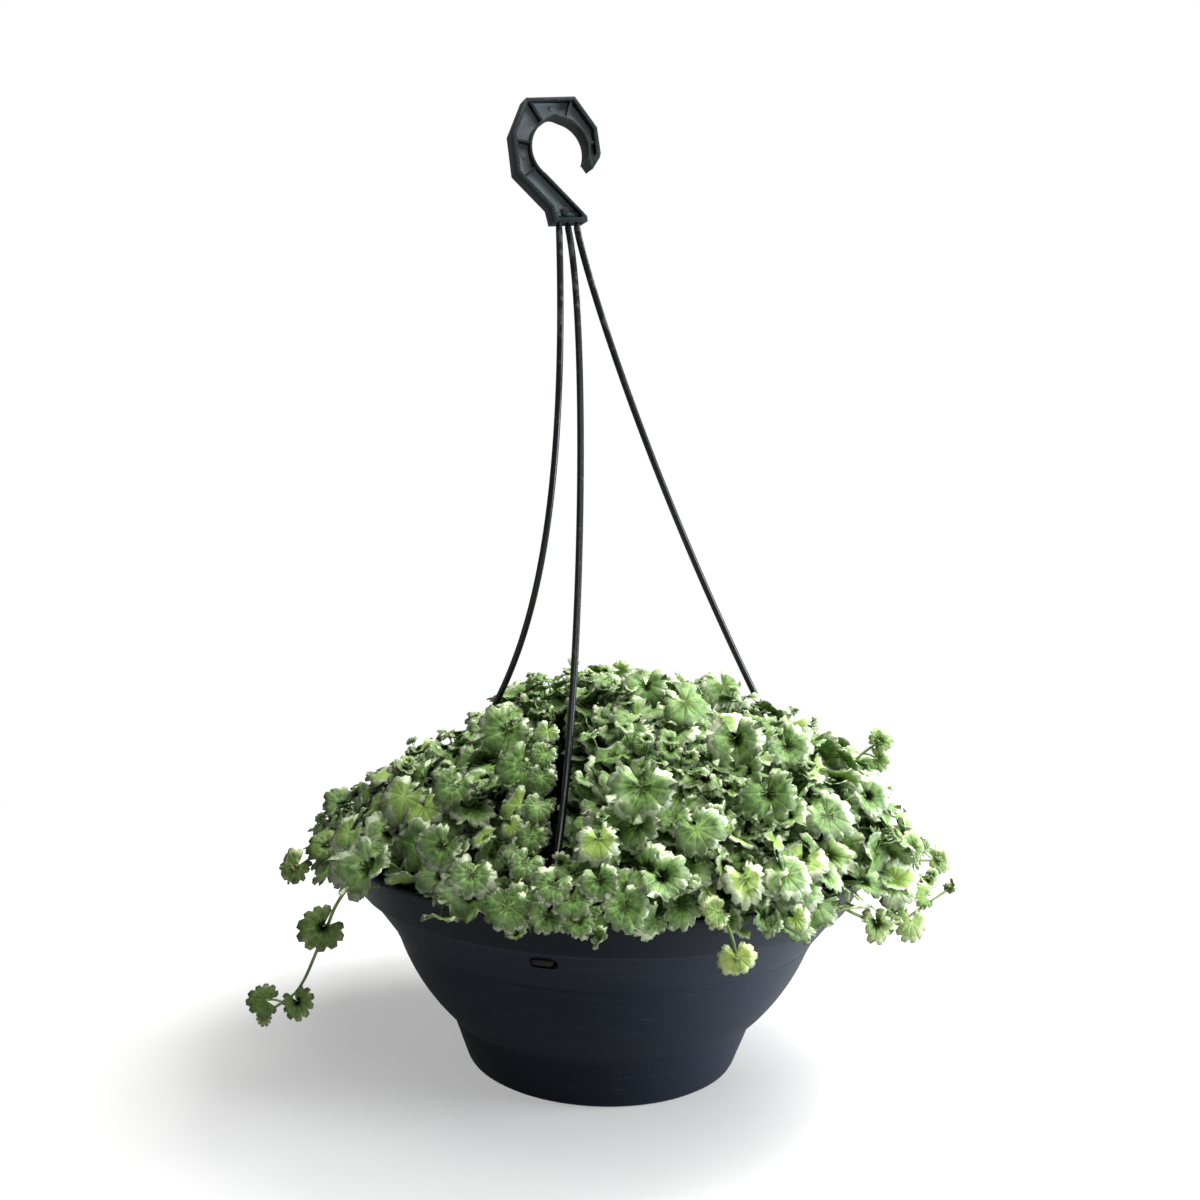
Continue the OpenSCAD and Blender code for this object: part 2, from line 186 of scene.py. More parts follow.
floor_half = 6.0
floor_corners = np.array([(-1, -1, 0), (1, -1, 0), (1, 1, 0), (-1, 1, 0)]) * floor_half
floor = piece("floor", floor_corners, [(0, 1, 2, 3)], [material("floor_paint", paint_floor, Roughness=0.9)])

sky = bpy.data.worlds.new("sky")
sky.use_nodes = True
bpy.context.scene.world = sky
backdrop = sky.node_tree.nodes["Background"]
sky_wire = Wire(sky.node_tree)
seen_by_camera = sky_wire.node("ShaderNodeLightPath")
sky_light, sky_seen = 0.2, 1.0
strength = seen_by_camera * (sky_seen - sky_light) + sky_light
sky.node_tree.links.new(strength.socket, backdrop.inputs["Strength"])
backdrop.inputs["Color"].default_value = rgb(1.0, 1.0, 1.0)


def soft_light(name, place, aim, size, power, colour):
    """A square soft box at place that faces aim."""
    data = bpy.data.lights.new(name, "AREA")
    data.size, data.energy, data.color = size, power, colour
    made = bpy.data.objects.new(name, data)
    made.location = place
    made.rotation_euler = (Vector(aim) - Vector(place)).to_track_quat("-Z", "Y").to_euler()
    bpy.context.scene.collection.objects.link(made)


soft_light("window_high", (0.75, 0.40, 1.35), (0, 0, 0.14), 0.9, 40, (1.0, 0.99, 0.96))
soft_light("window_low", (1.35, -0.2, 0.33), (0, 0, 0.06), 0.7, 25, (0.86, 0.93, 1.0))
soft_light("ceiling", (0.32, -0.55, 1.5), (0, 0, 0.12), 1.1, 18, (1.0, 1.0, 0.98))


# ---------------------------------------------------------------- bowl
# One injection moulding in matt anthracite plastic: a stepped foot, a thin wall with a bead around it, and a
# flared band under the rim. Three slots under the band take the stem feet, and the base has drainage holes.

rim_r, rim_z = 150 * mm, 124 * mm
band_r, band_z, band_step = 140 * mm, 102 * mm, 2.8 * mm
bead_r, bead_z = 119 * mm, 77 * mm
foot_top_r, foot_z, base_r = 87 * mm, 28 * mm, 76.5 * mm
wall, skin, bowl_floor = 2.2 * mm, 2.75 * mm, 3 * mm
slot_z = band_z - 6 * mm
wall_slope = math.atan2(band_r - band_step - bead_r, band_z - bead_z)
slot_r = bead_r + (slot_z - bead_z) * math.tan(wall_slope)
front_az, right_az, left_az = -13, 107, -133


def bulged(start, end, bulge, count):
    """Points from start to end on a shallow parabola that swells by bulge to the right of the way."""
    start, end = np.array(start), np.array(end)
    along = (end - start) / np.linalg.norm(end - start)
    t = np.linspace(0, 1, count)[:, None]
    return start + t * (end - start) + 4 * bulge * t * (1 - t) * np.array([along[1], -along[0]])


def softened(outline, radius, steps=4):
    """Each inner corner of an open outline becomes a small parabola that starts radius before it."""
    outline = np.asarray(outline, float)
    kept = [outline[:1]]
    t = np.linspace(0, 1, steps)[:, None]
    for before, corner, after, size in zip(outline, outline[1:], outline[2:], radius):
        to_before, to_after = before - corner, after - corner
        reach = min(size, 0.45 * np.linalg.norm(to_before), 0.45 * np.linalg.norm(to_after))
        a = corner + to_before / np.linalg.norm(to_before) * reach
        b = corner + to_after / np.linalg.norm(to_after) * reach
        kept.append((1 - t) ** 2 * a + 2 * t * (1 - t) * corner + t**2 * b)
    return np.vstack(kept + [outline[-1:]])


def turned(profile, sides):
    """Points and faces of a profile of (radius, height) turned about the Z axis."""
    angle = np.linspace(0, 2 * np.pi, sides, endpoint=False)
    points = np.empty((len(profile), sides, 3))
    points[..., 0] = profile[:, :1] * np.cos(angle)
    points[..., 1] = profile[:, :1] * np.sin(angle)
    points[..., 2] = profile[:, 1:]
    return points.reshape(-1, 3), grid_faces(len(profile), sides)


def grid_faces(rows, columns):
    """Quads of a grid whose columns close round."""
    row, column = np.meshgrid(np.arange(rows - 1), np.arange(columns), indexing="ij")
    beside = (column + 1) % columns
    here, above = row * columns, (row + 1) * columns
    return np.stack([here + column, here + beside, above + beside, above + column], -1).reshape(-1, 4).tolist()


def at_azimuth(azimuth, out, side, up):
    """The point that lies out from the bowl's axis, sideways and up, at an azimuth counted from the front."""
    a = math.radians(azimuth - 90)
    return np.array([out * math.cos(a) - side * math.sin(a), out * math.sin(a) + side * math.cos(a), up])


belly, edge_round, base_round, foot_round = 3.7 * mm, 0.6 * mm, 3.6 * mm, 2.4 * mm
outer = np.vstack([
    [[0, 0], [base_r, 0]],
    bulged([foot_top_r, foot_z], [bead_r, bead_z], belly, 15),
    np.array([[0.5, 0], [1.1, 1.3], [1.0, 2.2], [1.9, 2.7], [2.6, 4.0]]) * mm + [bead_r, bead_z],
    [[band_r - band_step, band_z - 0.2 * mm], [band_r - 0.3 * mm, band_z]],
    [[rim_r, rim_z - 1.4 * mm], [rim_r - 0.2 * mm, rim_z]],
])
inner = np.vstack([
    [[rim_r - 2.3 * mm, rim_z], [rim_r - 2.7 * mm, rim_z - 1.4 * mm]],
    [[band_r - skin, band_z + wall], [band_r - band_step - skin, band_z - wall], [bead_r - skin, bead_z]],
    bulged([bead_r, bead_z], [foot_top_r, foot_z], -belly, 15)[1:] - [skin, 0],
    [[base_r - wall, bowl_floor], [0, bowl_floor]],
])
rounds = np.full(len(outer) + len(inner) - 2, edge_round)
rounds[:2] = base_round, foot_round
profile = softened(np.vstack([outer, inner]), rounds)


def applied(obj):
    """The object with its modifiers baked into its mesh."""
    bpy.context.view_layer.update()
    seen = obj.evaluated_get(bpy.context.evaluated_depsgraph_get())
    mesh = bpy.data.meshes.new_from_object(seen)
    obj.modifiers.clear()
    obj.data = mesh
    return obj


def cleaned(obj, gap=1e-6):
    """Merges doubled points and turns every face outwards."""
    shell = bmesh.new()
    shell.from_mesh(obj.data)
    bmesh.ops.remove_doubles(shell, verts=shell.verts, dist=gap)
    bmesh.ops.dissolve_degenerate(shell, edges=shell.edges, dist=gap)
    bmesh.ops.recalc_face_normals(shell, faces=shell.faces)
    shell.to_mesh(obj.data)
    shell.free()
    return obj


def smoothed(obj, sharp_angle):
    """Shades the object smooth, with sharp edges where faces meet at more than the angle in degrees."""
    obj.data.polygons.foreach_set("use_smooth", np.ones(len(obj.data.polygons), bool))
    obj.data.set_sharp_from_angle(angle=math.radians(sharp_angle))


def paint_bowl(wire):
    place = wire.node("ShaderNodeTexCoord", out=3)
    across, height = place.axis(0), place.axis(2)
    clouds = wire.noise(place, 9.0, 5.0, 0.6)
    fine_grain = wire.noise(place, 900.0, 2.0)
    flow = wire.noise(wire.stretched(place, (14, 14, 160)), 2.0, 3.0)
    specks = wire.cells(place, 420.0).between(0.16, 0.05)
    speck_here = wire.noise(place, 30.0, 2.0).between(0.52, 0.66)
    scuff_lines = wire.noise(wire.stretched(place, (60, 60, 480)), 1.0, 4.0, 0.7).between(0.60, 0.70)
    scuff_here = wire.noise(place, 22.0, 2.0).between(0.55, 0.68)
    scuffs = scuff_lines * scuff_here
    pits = wire.cells(place, 260.0).between(0.22, 0.08) * wire.noise(place, 16.0, 1.0).between(0.5, 0.62)
    above_band = height - band_z
    band_edge = above_band.between(-0.3 * mm, 0) * above_band.between(1.6 * mm, 0.9 * mm)
    rim_edge = height.between(rim_z - 1.6 * mm, rim_z - 0.4 * mm)
    colour = clouds.blend(rgb(0.0055, 0.0078, 0.0145), rgb(0.0105, 0.0145, 0.025))
    colour = (flow.between(0.45, 0.7) * 0.2).blend(colour, rgb(0.024, 0.029, 0.041))
    # Painted shade: the flared band under the rim is painted darker, where the leaves overhang it.
    colour = (above_band.between(-2.5 * mm, 2 * mm) * 0.75).blend(colour, rgb(0.0025, 0.0028, 0.0035))
    # Painted shade: the bowl's left side, away from the windows, is painted darker.
    colour = (across.between(10 * mm, -110 * mm) * 0.5).blend(colour, rgb(0.003, 0.004, 0.0065))
    # Painted light: the bowl's right side, towards the windows, is painted lighter as a broad painted highlight.
    colour = (across.between(-20 * mm, 135 * mm) * 0.6).blend(colour, rgb(0.052, 0.062, 0.086))
    colour = (specks * speck_here * 0.5).blend(colour, rgb(0.16, 0.17, 0.18))
    colour = (scuffs * 0.35).blend(colour, rgb(0.12, 0.13, 0.15))
    # The lighter lines along the band's lower edge and the rim are partly wear and dust, and partly a painted
    # highlight where the rounded edges catch light.
    colour = ((band_edge + rim_edge) * 0.25).blend(colour, rgb(0.05, 0.056, 0.07))
    return {
        "Base Color": colour,
        "Roughness": clouds * 0.12 + fine_grain * 0.1 + scuffs * 0.15 + 0.42,
        "Height": (fine_grain * 0.25 + flow * 0.25 - pits * 1.6 + scuffs * 0.3, 0.12 * mm),
    }


bluish = rgb(0.75, 0.86, 1.0)
bowl_plastic = material("bowl_plastic", paint_bowl, Specular_IOR_Level=0.16, Specular_Tint=bluish)
points, faces = turned(profile, 240)
bowl = cleaned(piece("bowl_moulding", points, faces, [bowl_plastic]))


def cutter(name, points, faces):
    """A closed shape that is taken away from the bowl."""
    made = piece(name, points, faces, [bowl_plastic])
    cut = bowl.modifiers.new(name, "BOOLEAN")
    cut.operation, cut.object, cut.solver = "DIFFERENCE", cleaned(made), "EXACT"
    return made


def superellipse(sides, power):
    """Two rows of numbers from -1 to 1 round a closed outline: a circle at power 1, squarer towards 0."""
    angle = np.linspace(0, 2 * np.pi, sides, endpoint=False)
    x, y = np.cos(angle), np.sin(angle)
    return np.sign(x) * np.abs(x) ** power, np.sign(y) * np.abs(y) ** power


def rounded_bar(centre, out, side, up):
    """A closed bar that reaches out to each side of its centre, with half widths side and up. Its section has
    rounded corners, and its ends are drawn in a little."""
    across, over = superellipse(20, 0.5)
    ends = np.array([[-1, 0], [-1, 0.86], [-0.96, 1], [0.96, 1], [1, 0.86], [1, 0]])
    section = across[:, None] * side + over[:, None] * up
    rings = [centre + reach * out + width * section for reach, width in ends]
    return np.vstack(rings), grid_faces(len(ends), len(across))


cutters = []
slot_half_out, slot_half_w, slot_half_h = 7 * mm, 7 * mm, 3.2 * mm
for index, azimuth in enumerate((front_az, right_az, left_az)):
    middle = at_azimuth(azimuth, slot_r, 0, slot_z)
    out = at_azimuth(azimuth, slot_half_out, 0, 0)
    side = at_azimuth(azimuth, 0, slot_half_w, 0)
    bar, bar_faces = rounded_bar(middle, out, side, np.array([0, 0, slot_half_h]))
    cutters.append(cutter(f"slot_cut_{index}", bar, bar_faces))
drain_r, drain_count, drain_ring, drill_low, drill_high = 4 * mm, 6, 50 * mm, -5 * mm, 8 * mm
for index in range(drain_count):
    turn = math.radians((index + 0.5) * 360 / drain_count)
    drill = np.array([[0, drill_low], [drain_r, drill_low], [drain_r, drill_high], [0, drill_high]])
    points, faces = turned(drill, 24)
    points = points + [drain_ring * math.cos(turn), drain_ring * math.sin(turn), 0]
    cutters.append(cutter(f"drain_cut_{index}", points, faces))
applied(bowl)
for tool in cutters:
    bpy.data.objects.remove(tool)
smoothed(bowl, 40)
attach(bowl, "bowl")
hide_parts("bowl")


# ---------------------------------------------------------------- hook
# The hanger's hook, moulded in greenish black plastic: a thin web with a flange round its edge and ribs
# around the eye. Its lower block holds the three ball heads in one socket. Dust sits in the bays.

hub = np.array([-31.5, 0, 476]) * mm
hook_yaw, hook_lean = math.radians(20), math.radians(7.5)
hook_back = [-math.sin(hook_yaw), math.cos(hook_yaw), 0]
head_h = 3.2 * mm


def hook_point(u, h, depth):
    """The place u to the right and h up in the hook's own plane, measured from its plate, and depth back."""
    level = np.array([math.cos(hook_yaw), math.sin(hook_yaw), 0])
    right = math.cos(hook_lean) * level + [0, 0, math.sin(hook_lean)]
    return hub + u * right + (h - head_h) * np.cross(right, hook_back) + depth * np.array(hook_back)


def paint_hook(wire):
    place = wire.node("ShaderNodeTexCoord", out=3)
    from_middle = wire.node("ShaderNodeVectorMath", {0: place, 1: (hub[0], 0, 0)}, operation="SUBTRACT")
    inputs = {0: from_middle, 1: hook_back}
    depth = wire.math("ABSOLUTE", wire.node("ShaderNodeVectorMath", inputs, out=1, operation="DOT_PRODUCT"))
    face_on = wire.node("ShaderNodeAttribute", out=2, attribute_name="face_on")
    # The faces that look along the hook's depth, front and back, as against its walls and bevels.
    broad_face = face_on.between(0.6, 0.95)
    # The bevels between the faces and the walls, which carry a painted highlight.
    edge = face_on.between(0.25, 0.5) * face_on.between(0.97, 0.85)
    recess = depth.between(3.4 * mm, 1.6 * mm) * broad_face
    clouds = wire.noise(place, 60.0, 5.0, 0.65)
    dust = wire.noise(place, 900.0, 3.0, 0.7).between(0.5, 0.72)
    smears = wire.noise(wire.stretched(place, (90, 90, 260)), 1.0, 4.0, 0.6).between(0.5, 0.75)
    scratches = wire.noise(wire.stretched(place, (900, 900, 60)), 1.0, 2.0, 0.5).between(0.66, 0.72)
    colour = clouds.blend(rgb(0.0035, 0.0055, 0.006), rgb(0.009, 0.013, 0.014))
    # Painted light: the faces that look front and back are painted lighter than the walls.
    colour = (broad_face * (clouds * 0.6 + 0.5)).blend(colour, rgb(0.013, 0.022, 0.024))
    colour = (recess * (clouds * 0.4 + 0.72)).blend(colour, rgb(0.19, 0.22, 0.24))
    # Painted highlight: a light teal line along the bevels.
    colour = (edge * (clouds * 0.8 + 0.2)).blend(colour, rgb(0.12, 0.19, 0.20))
    colour = (dust * broad_face * 0.16).blend(colour, rgb(0.16, 0.19, 0.19))
    colour = (scratches * broad_face * 0.25).blend(colour, rgb(0.16, 0.19, 0.19))
    return {
        "Base Color": colour,
        "Roughness": smears * 0.14 + dust * 0.12 + 0.34,
        "Height": (clouds * 0.6 + dust * 0.2 - scratches * 0.4, 0.10 * mm),
    }


hanger_plastic = material("hanger_plastic", paint_hook, Specular_IOR_Level=0.3)
hook = bpy.data.objects.new("hook_moulding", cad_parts["hook"].data.copy())
hook.data.name = "hook_moulding"
bpy.context.scene.collection.objects.link(hook)
hook.data.materials.clear()
hook.data.materials.append(hanger_plastic)
hook.data.polygons.foreach_set("material_index", np.zeros(len(hook.data.polygons), np.int32))
cleaned(hook, 4e-6)
shell = bmesh.new()
shell.from_mesh(hook.data)
bmesh.ops.dissolve_limit(shell, angle_limit=math.radians(0.8), verts=shell.verts, edges=shell.edges)
shell.to_mesh(hook.data)
shell.free()
rounding = hook.modifiers.new("rounding", "BEVEL")
rounding.width, rounding.segments = 0.3 * mm, 2
rounding.limit_method, rounding.angle_limit = "ANGLE", math.radians(35)
rounding.use_clamp_overlap = True
applied(hook)
smoothed(hook, 35)
facing = np.empty(3 * len(hook.data.polygons), np.float32)
hook.data.polygons.foreach_get("normal", facing)
face_on = hook.data.attributes.new("face_on", "FLOAT", "FACE")
face_on.data.foreach_set("value", np.abs(facing.reshape(-1, 3) @ hook_back).astype(np.float32))
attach(hook, "hook")
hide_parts("hook")


# ---------------------------------------------------------------- stems
# Three flexible rods in glossy greenish black plastic. Each has a ball head that snaps into the hook, a thin
# neck, a bowed rod, and a flat foot inside the rim whose peg clips outwards through the bowl's slot.

head_r, neck_r, rod_r = 2.4 * mm, 1.4 * mm, 1.9 * mm
neck_end, rod_start = 3.3 * mm, 5.2 * mm
head_pitch = 5.3 * mm
knee_r, knee_z = rim_r - 10 * mm, rim_z - 2 * mm
tab_half_w, tab_half_t, tab_half_h = 5 * mm, 1.5 * mm, 4.5 * mm
peg_z, peg_half_h, peg_reach = slot_z + 1.3 * mm, 1.4 * mm, slot_r + 2.8 * mm
head_row = hook_point(1, 0, 0) - hook_point(0, 0, 0)


def bezier(controls, count):
    """Points on the cubic curve with four control points."""
    t = np.linspace(0, 1, count)[:, None]
    a, b, c, d = controls
    return (1 - t) ** 3 * a + 3 * (1 - t) ** 2 * t * b + 3 * (1 - t) * t**2 * c + t**3 * d


def stem_line(index, azimuth, top, bottom, count=80):
    """The rod's middle line from its neck to its knee. Each handle is (out to the foot, sideways, up) in mm."""
    start = hub + index * head_pitch * head_row - [0, 0, rod_start]
    knee = at_azimuth(azimuth, knee_r, 0, knee_z)
    out = (knee - start) * [1, 1, 0]
    out = out / np.linalg.norm(out)
    axes = np.array([out, [-out[1], out[0], 0], [0, 0, 1]])
    top_handle, bottom_handle = np.array(top) * mm @ axes, np.array(bottom) * mm @ axes
    return bezier([start, start + top_handle, knee + bottom_handle, knee], count)


def swept(path, half_w, half_t, square, side, sides=20):
    """A superellipse carried along a path: half_w along side, half_t across it, with square as its power at
    each row. Both ends are closed."""
    way = np.gradient(path, axis=0)
    way /= np.linalg.norm(way, axis=1)[:, None]
    across = side - (way @ side)[:, None] * way
    across /= np.linalg.norm(across, axis=1)[:, None]
    over = np.cross(way, across)
    x, y = superellipse(sides, square[:, None])
    x, y = x * half_w[:, None], y * half_t[:, None]
    points = path[:, None] + x[..., None] * across[:, None] + y[..., None] * over[:, None]
    rows = len(path)
    ends = [list(range(sides - 1, -1, -1)), list(range((rows - 1) * sides, rows * sides))]
    return points.reshape(-1, 3), grid_faces(rows, sides) + ends


def joined(*shells):
    """Several (points, faces) shells as one."""
    points, faces, start = [], [], 0
    for shell_points, shell_faces in shells:
        points.append(shell_points)
        faces += [[start + corner for corner in face] for face in shell_faces]
        start += len(shell_points)
    return np.vstack(points), faces


def paint_stem(wire):
    place = wire.node("ShaderNodeTexCoord", out=3)
    height = place.axis(2)
    along = wire.noise(wire.stretched(place, (30, 30, 9)), 1.0, 4.0, 0.6)
    wear = wire.noise(wire.stretched(place, (500, 500, 70)), 1.0, 3.0, 0.6).between(0.6, 0.72)
    # Painted highlight: lighter spots on the stems between 0.36 and 0.44 m up.
    upper_highlight = height.between(0.36, 0.44) * wire.noise(place, 120.0, 2.0).between(0.5, 0.6)
    colour = along.blend(rgb(0.003, 0.0045, 0.005), rgb(0.009, 0.012, 0.013))
    colour = (wear * 0.25).blend(colour, rgb(0.06, 0.072, 0.075))
    colour = (upper_highlight * 0.3).blend(colour, rgb(0.14, 0.155, 0.155))
    # Painted shade: the feet and pegs, under the band and in the slots, are painted near black, and they are also
    # rougher.
    foot_shade = height.between(0.116, 0.104)
    colour = (foot_shade * 0.85).blend(colour, rgb(0.004, 0.004, 0.0045))
    return {
        "Base Color": colour,
        "Roughness": along * 0.14 + wear * 0.2 + foot_shade * 0.4 + 0.2,
        "Height": (along * 0.8 + wear * 0.3, 0.12 * mm),
    }


stem_plastic = material("stem_plastic", paint_stem, Specular_IOR_Level=0.42)
tab_r = slot_r - skin - 2.1 * mm / math.cos(wall_slope)
stem_lines = {}
for name, index, azimuth, slot_azimuth, top, bottom in (
    ("front", 0, front_az + 1, front_az, (-15, 14.5, -60), (-70, 15, 50)),
    ("right", 1, right_az, right_az, (2, 0, -15), (-112, 0, 183)),
    ("left", -1, left_az, left_az, (-27, 0, -258), (-39, 2, 73)),
):
    line = stem_line(index, azimuth, top, bottom)
    stem_lines[name] = line
    head = hub + index * head_pitch * head_row
    ball = np.linspace(0.05, math.pi - math.asin(neck_r / head_r), 12)
    drop = np.concatenate([-head_r * np.cos(ball), [neck_end, 0.5 * (neck_end + rod_start)]])
    top_r = np.concatenate([head_r * np.sin(ball), [neck_r, 0.5 * (neck_r + rod_r)]])
    foot_up = at_azimuth(slot_azimuth, math.sin(wall_slope), 0, math.cos(wall_slope))
    foot = at_azimuth(slot_azimuth, tab_r, 0, slot_z + 0.8 * mm)
    foot_rows = np.array([0.92, 0.5, 0, -0.5, -0.92, -1])
    shank = line[-1] + np.linspace(0, 1, 7)[1:-1, None] * (foot + tab_half_h * foot_up - line[-1])
    tab = foot + tab_half_h * foot_rows[:, None] * foot_up
    path = np.vstack([head - drop[:, None] * [0, 0, 1], line, shank, tab])
    widen = np.linspace(0, 1, 7)[1:-1]
    thin_end = np.array([1, 1, 1, 1, 1, 0.7])
    rod_rows = np.full(len(line), rod_r)
    half_w, half_t = (
        np.concatenate([top_r, rod_rows, rod_r + widen * (half - rod_r), thin_end * half])
        for half in (tab_half_w, tab_half_t)
    )
    square = np.concatenate([np.ones(len(top_r) + len(line)), 1 - 0.6 * widen, np.full(6, 0.4)])
    tangent = at_azimuth(slot_azimuth, 0, 1, 0)
    rod = swept(path, half_w, half_t, square, tangent)
    peg_middle = at_azimuth(slot_azimuth, 0.5 * (tab_r + peg_reach), 0, peg_z)
    peg_out = at_azimuth(slot_azimuth, 0.5 * (peg_reach - tab_r), 0, 0)
    peg = rounded_bar(peg_middle, peg_out, tangent * tab_half_w, np.array([0, 0, peg_half_h]))
    points, faces = joined(rod, peg)
    stem = cleaned(piece(f"stem_{name}_rod", points, faces, [stem_plastic]))
    smoothed(stem, 50)
    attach(stem, f"stem_{name}")
    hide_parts(f"stem_{name}")


# ---------------------------------------------------------------- potting soil and root balls
# Dark brown potting soil fills the bowl to 38 mm under the rim, with crumbs of peat and bark on top, around
# three root balls that keep the round shape of the pots they grew in.

soil_z, soil_edge_z, soil_shoulder_r = 86 * mm, 79 * mm, 86 * mm
plant_r, root_r, root_low = 60 * mm, 24 * mm, 34 * mm
plant_angles = {"left": 200, "right": -42, "back": 80}
soil_random = np.random.default_rng(11)


def rolling(places, scale, random, waves=14):
    """A smooth random field between about -1 and 1: a sum of plane waves of about the given wavelength."""
    heading = random.normal(size=(waves, places.shape[1]))
    heading /= np.linalg.norm(heading, axis=1)[:, None]
    number = 2 * np.pi / (scale * random.uniform(0.7, 1.6, waves))
    phase = random.uniform(0, 2 * np.pi, waves)
    return np.sin(places @ (heading * number[:, None]).T + phase).sum(axis=1) / math.sqrt(waves)


def paint_soil(wire):
    place = wire.node("ShaderNodeTexCoord", out=3)
    grain = wire.noise(place, 500.0, 5.0, 0.7)
    lumps = wire.noise(place, 90.0, 3.0, 0.6)
    fibre = wire.noise(wire.stretched(place, (260, 900, 400)), 1.0, 2.0, 0.5).between(0.64, 0.7)
    perlite = wire.cells(place, 180.0).between(0.14, 0.08)
    colour = grain.blend(rgb(0.010, 0.007, 0.005), rgb(0.055, 0.034, 0.022))
    colour = (lumps.between(0.4, 0.65) * 0.5).blend(colour, rgb(0.022, 0.015, 0.011))
    colour = (fibre * 0.5).blend(colour, rgb(0.16, 0.10, 0.06))
    colour = (perlite * 0.5).blend(colour, rgb(0.4, 0.38, 0.34))
    return {"Base Color": colour, "Roughness": lumps * 0.1 + 0.86, "Height": (grain * 0.6 + lumps, 0.8 * mm)}


def paint_roots(wire):
    place = wire.node("ShaderNodeTexCoord", out=3)
    warp = wire.noise(place, 60.0, 3.0)
    strands = wire.noise(wire.stretched(place, (420, 420, 90)), 1.0, 4.0, 0.6).between(0.52, 0.62)
    hairs = wire.noise(wire.stretched(place, (200, 200, 700)), 1.0, 3.0, 0.6).between(0.56, 0.64)
    colour = warp.blend(rgb(0.03, 0.02, 0.014), rgb(0.07, 0.045, 0.03))
    colour = ((strands + hairs) * 0.5).blend(colour, rgb(0.52, 0.44, 0.3))
    return {"Base Color": colour, "Roughness": warp * 0.1 + 0.8, "Height": (strands + hairs * 0.7, 0.5 * mm)}


potting_soil_finish = material("potting_soil", paint_soil, Specular_IOR_Level=0.2)
root_finish = material("root_ball", paint_roots, Specular_IOR_Level=0.2)
soil_gap = 0.3 * mm
edge_r = bead_r - skin - soil_gap + (soil_edge_z - bead_z) * math.tan(wall_slope)
bed_r, bed_low, bed_round = base_r - wall - soil_gap, bowl_floor + 0.05 * mm, 3 * mm
shoulder_line = [[soil_shoulder_r + 6 * mm, soil_edge_z + 3 * mm], [soil_shoulder_r, soil_z + 0.6 * mm]]
bed = np.vstack([
    [[0, bed_low], [bed_r - bed_round, bed_low], [bed_r, bed_low + bed_round]],
    bulged([foot_top_r, foot_z], [bead_r, bead_z], belly, 15) - [skin + soil_gap, 0],
    [[edge_r, soil_edge_z]],
    np.stack([np.linspace(edge_r - 3 * mm, soil_shoulder_r + 10 * mm, 8), np.full(8, soil_edge_z)], 1),
    np.linspace(*shoulder_line, 4),
    np.stack([np.linspace(soil_shoulder_r - 2 * mm, 0, 40), np.full(40, soil_z + 1.2 * mm)], 1),
])
points, faces = turned(bed, 200)
top_rows = points[:, 2] > soil_edge_z - 0.5 * mm
inside = np.clip((edge_r - np.hypot(points[:, 0], points[:, 1])) / (8 * mm), 0, 1) * top_rows
hills, clods = (rolling(points[:, :2], width, soil_random) for width in (26 * mm, 8 * mm))
lumps = hills * 0.35 + clods * 0.3
points[:, 2] += inside * lumps * 0.9 * mm
soil = cleaned(piece("soil_bed", points, faces, [potting_soil_finish]))
root_tools = []
for name, angle in plant_angles.items():
    a = math.radians(angle)
    cone = np.array([[0, root_low], [root_r - 6 * mm, root_low], [root_r, soil_z], [0, soil_z]])
    points, faces = turned(cone, 96)
    points += [plant_r * math.cos(a), plant_r * math.sin(a), 0]
    tool = cleaned(piece(f"root_cut_{name}", points, faces, []))
    cut = soil.modifiers.new(tool.name, "BOOLEAN")
    cut.operation, cut.object, cut.solver = "DIFFERENCE", tool, "EXACT"
    root_tools.append(tool)
    for root_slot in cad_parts[f"root_ball_{name}"].material_slots:
        root_slot.material = root_finish
applied(soil)
for tool in root_tools:
    bpy.data.objects.remove(tool)

crumb_count = 520
gold = (1 + 5**0.5) / 2
crumb_points = np.array([
    [0, 1, gold], [0, -1, gold], [0, 1, -gold], [0, -1, -gold], [1, gold, 0], [-1, gold, 0],
    [1, -gold, 0], [-1, -gold, 0], [gold, 0, 1], [gold, 0, -1], [-gold, 0, 1], [-gold, 0, -1],
]) / 1.9
crumb_faces = np.array([
    [0, 1, 8], [0, 10, 1], [0, 8, 4], [0, 4, 5], [0, 5, 10], [1, 6, 8], [1, 10, 7],
    [1, 7, 6], [8, 6, 9], [8, 9, 4], [4, 9, 2], [4, 2, 5], [5, 2, 11], [5, 11, 10],
    [10, 11, 7], [3, 6, 7], [3, 7, 11], [3, 11, 2], [3, 2, 9], [3, 9, 6],
])
spot_r = 92 * mm * np.sqrt(soil_random.uniform(0, 1, crumb_count))
spot_a = soil_random.uniform(0, 2 * np.pi, crumb_count)
spot_z = np.full(crumb_count, soil_z + 1.3 * mm)
spots = np.stack([spot_r * np.cos(spot_a), spot_r * np.sin(spot_a), spot_z], 1)
spots[:, 2] -= np.clip(spot_r - soil_shoulder_r, 0, 1) * 0.9
sizes = soil_random.uniform(0.6, 2.0, (crumb_count, 1, 3)) * mm * [1, 1, 0.7]
corners = len(crumb_points)
crumbs = spots[:, None] + crumb_points * sizes * soil_random.uniform(0.8, 1.15, (crumb_count, corners, 1))
faces = (crumb_faces + corners * np.arange(crumb_count)[:, None, None]).reshape(-1, 3).tolist()
loose = piece("soil_crumbs", crumbs.reshape(-1, 3), faces, [potting_soil_finish], smooth=False)
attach(soil, "bowl")
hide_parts("potting_soil")
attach(loose, "bowl")
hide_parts("potting_soil")


# ---------------------------------------------------------------- plants
# Three trailing plants with scalloped, kidney-shaped leaves, sage green with a cream margin. Each has a bundle
# of fine stems that fans out of its root ball, a mound of leaves on thin stalks, and pale young tips.
# A leaf's points are the stalk's end, a rim of three steps a tooth, and a middle ring on each side.

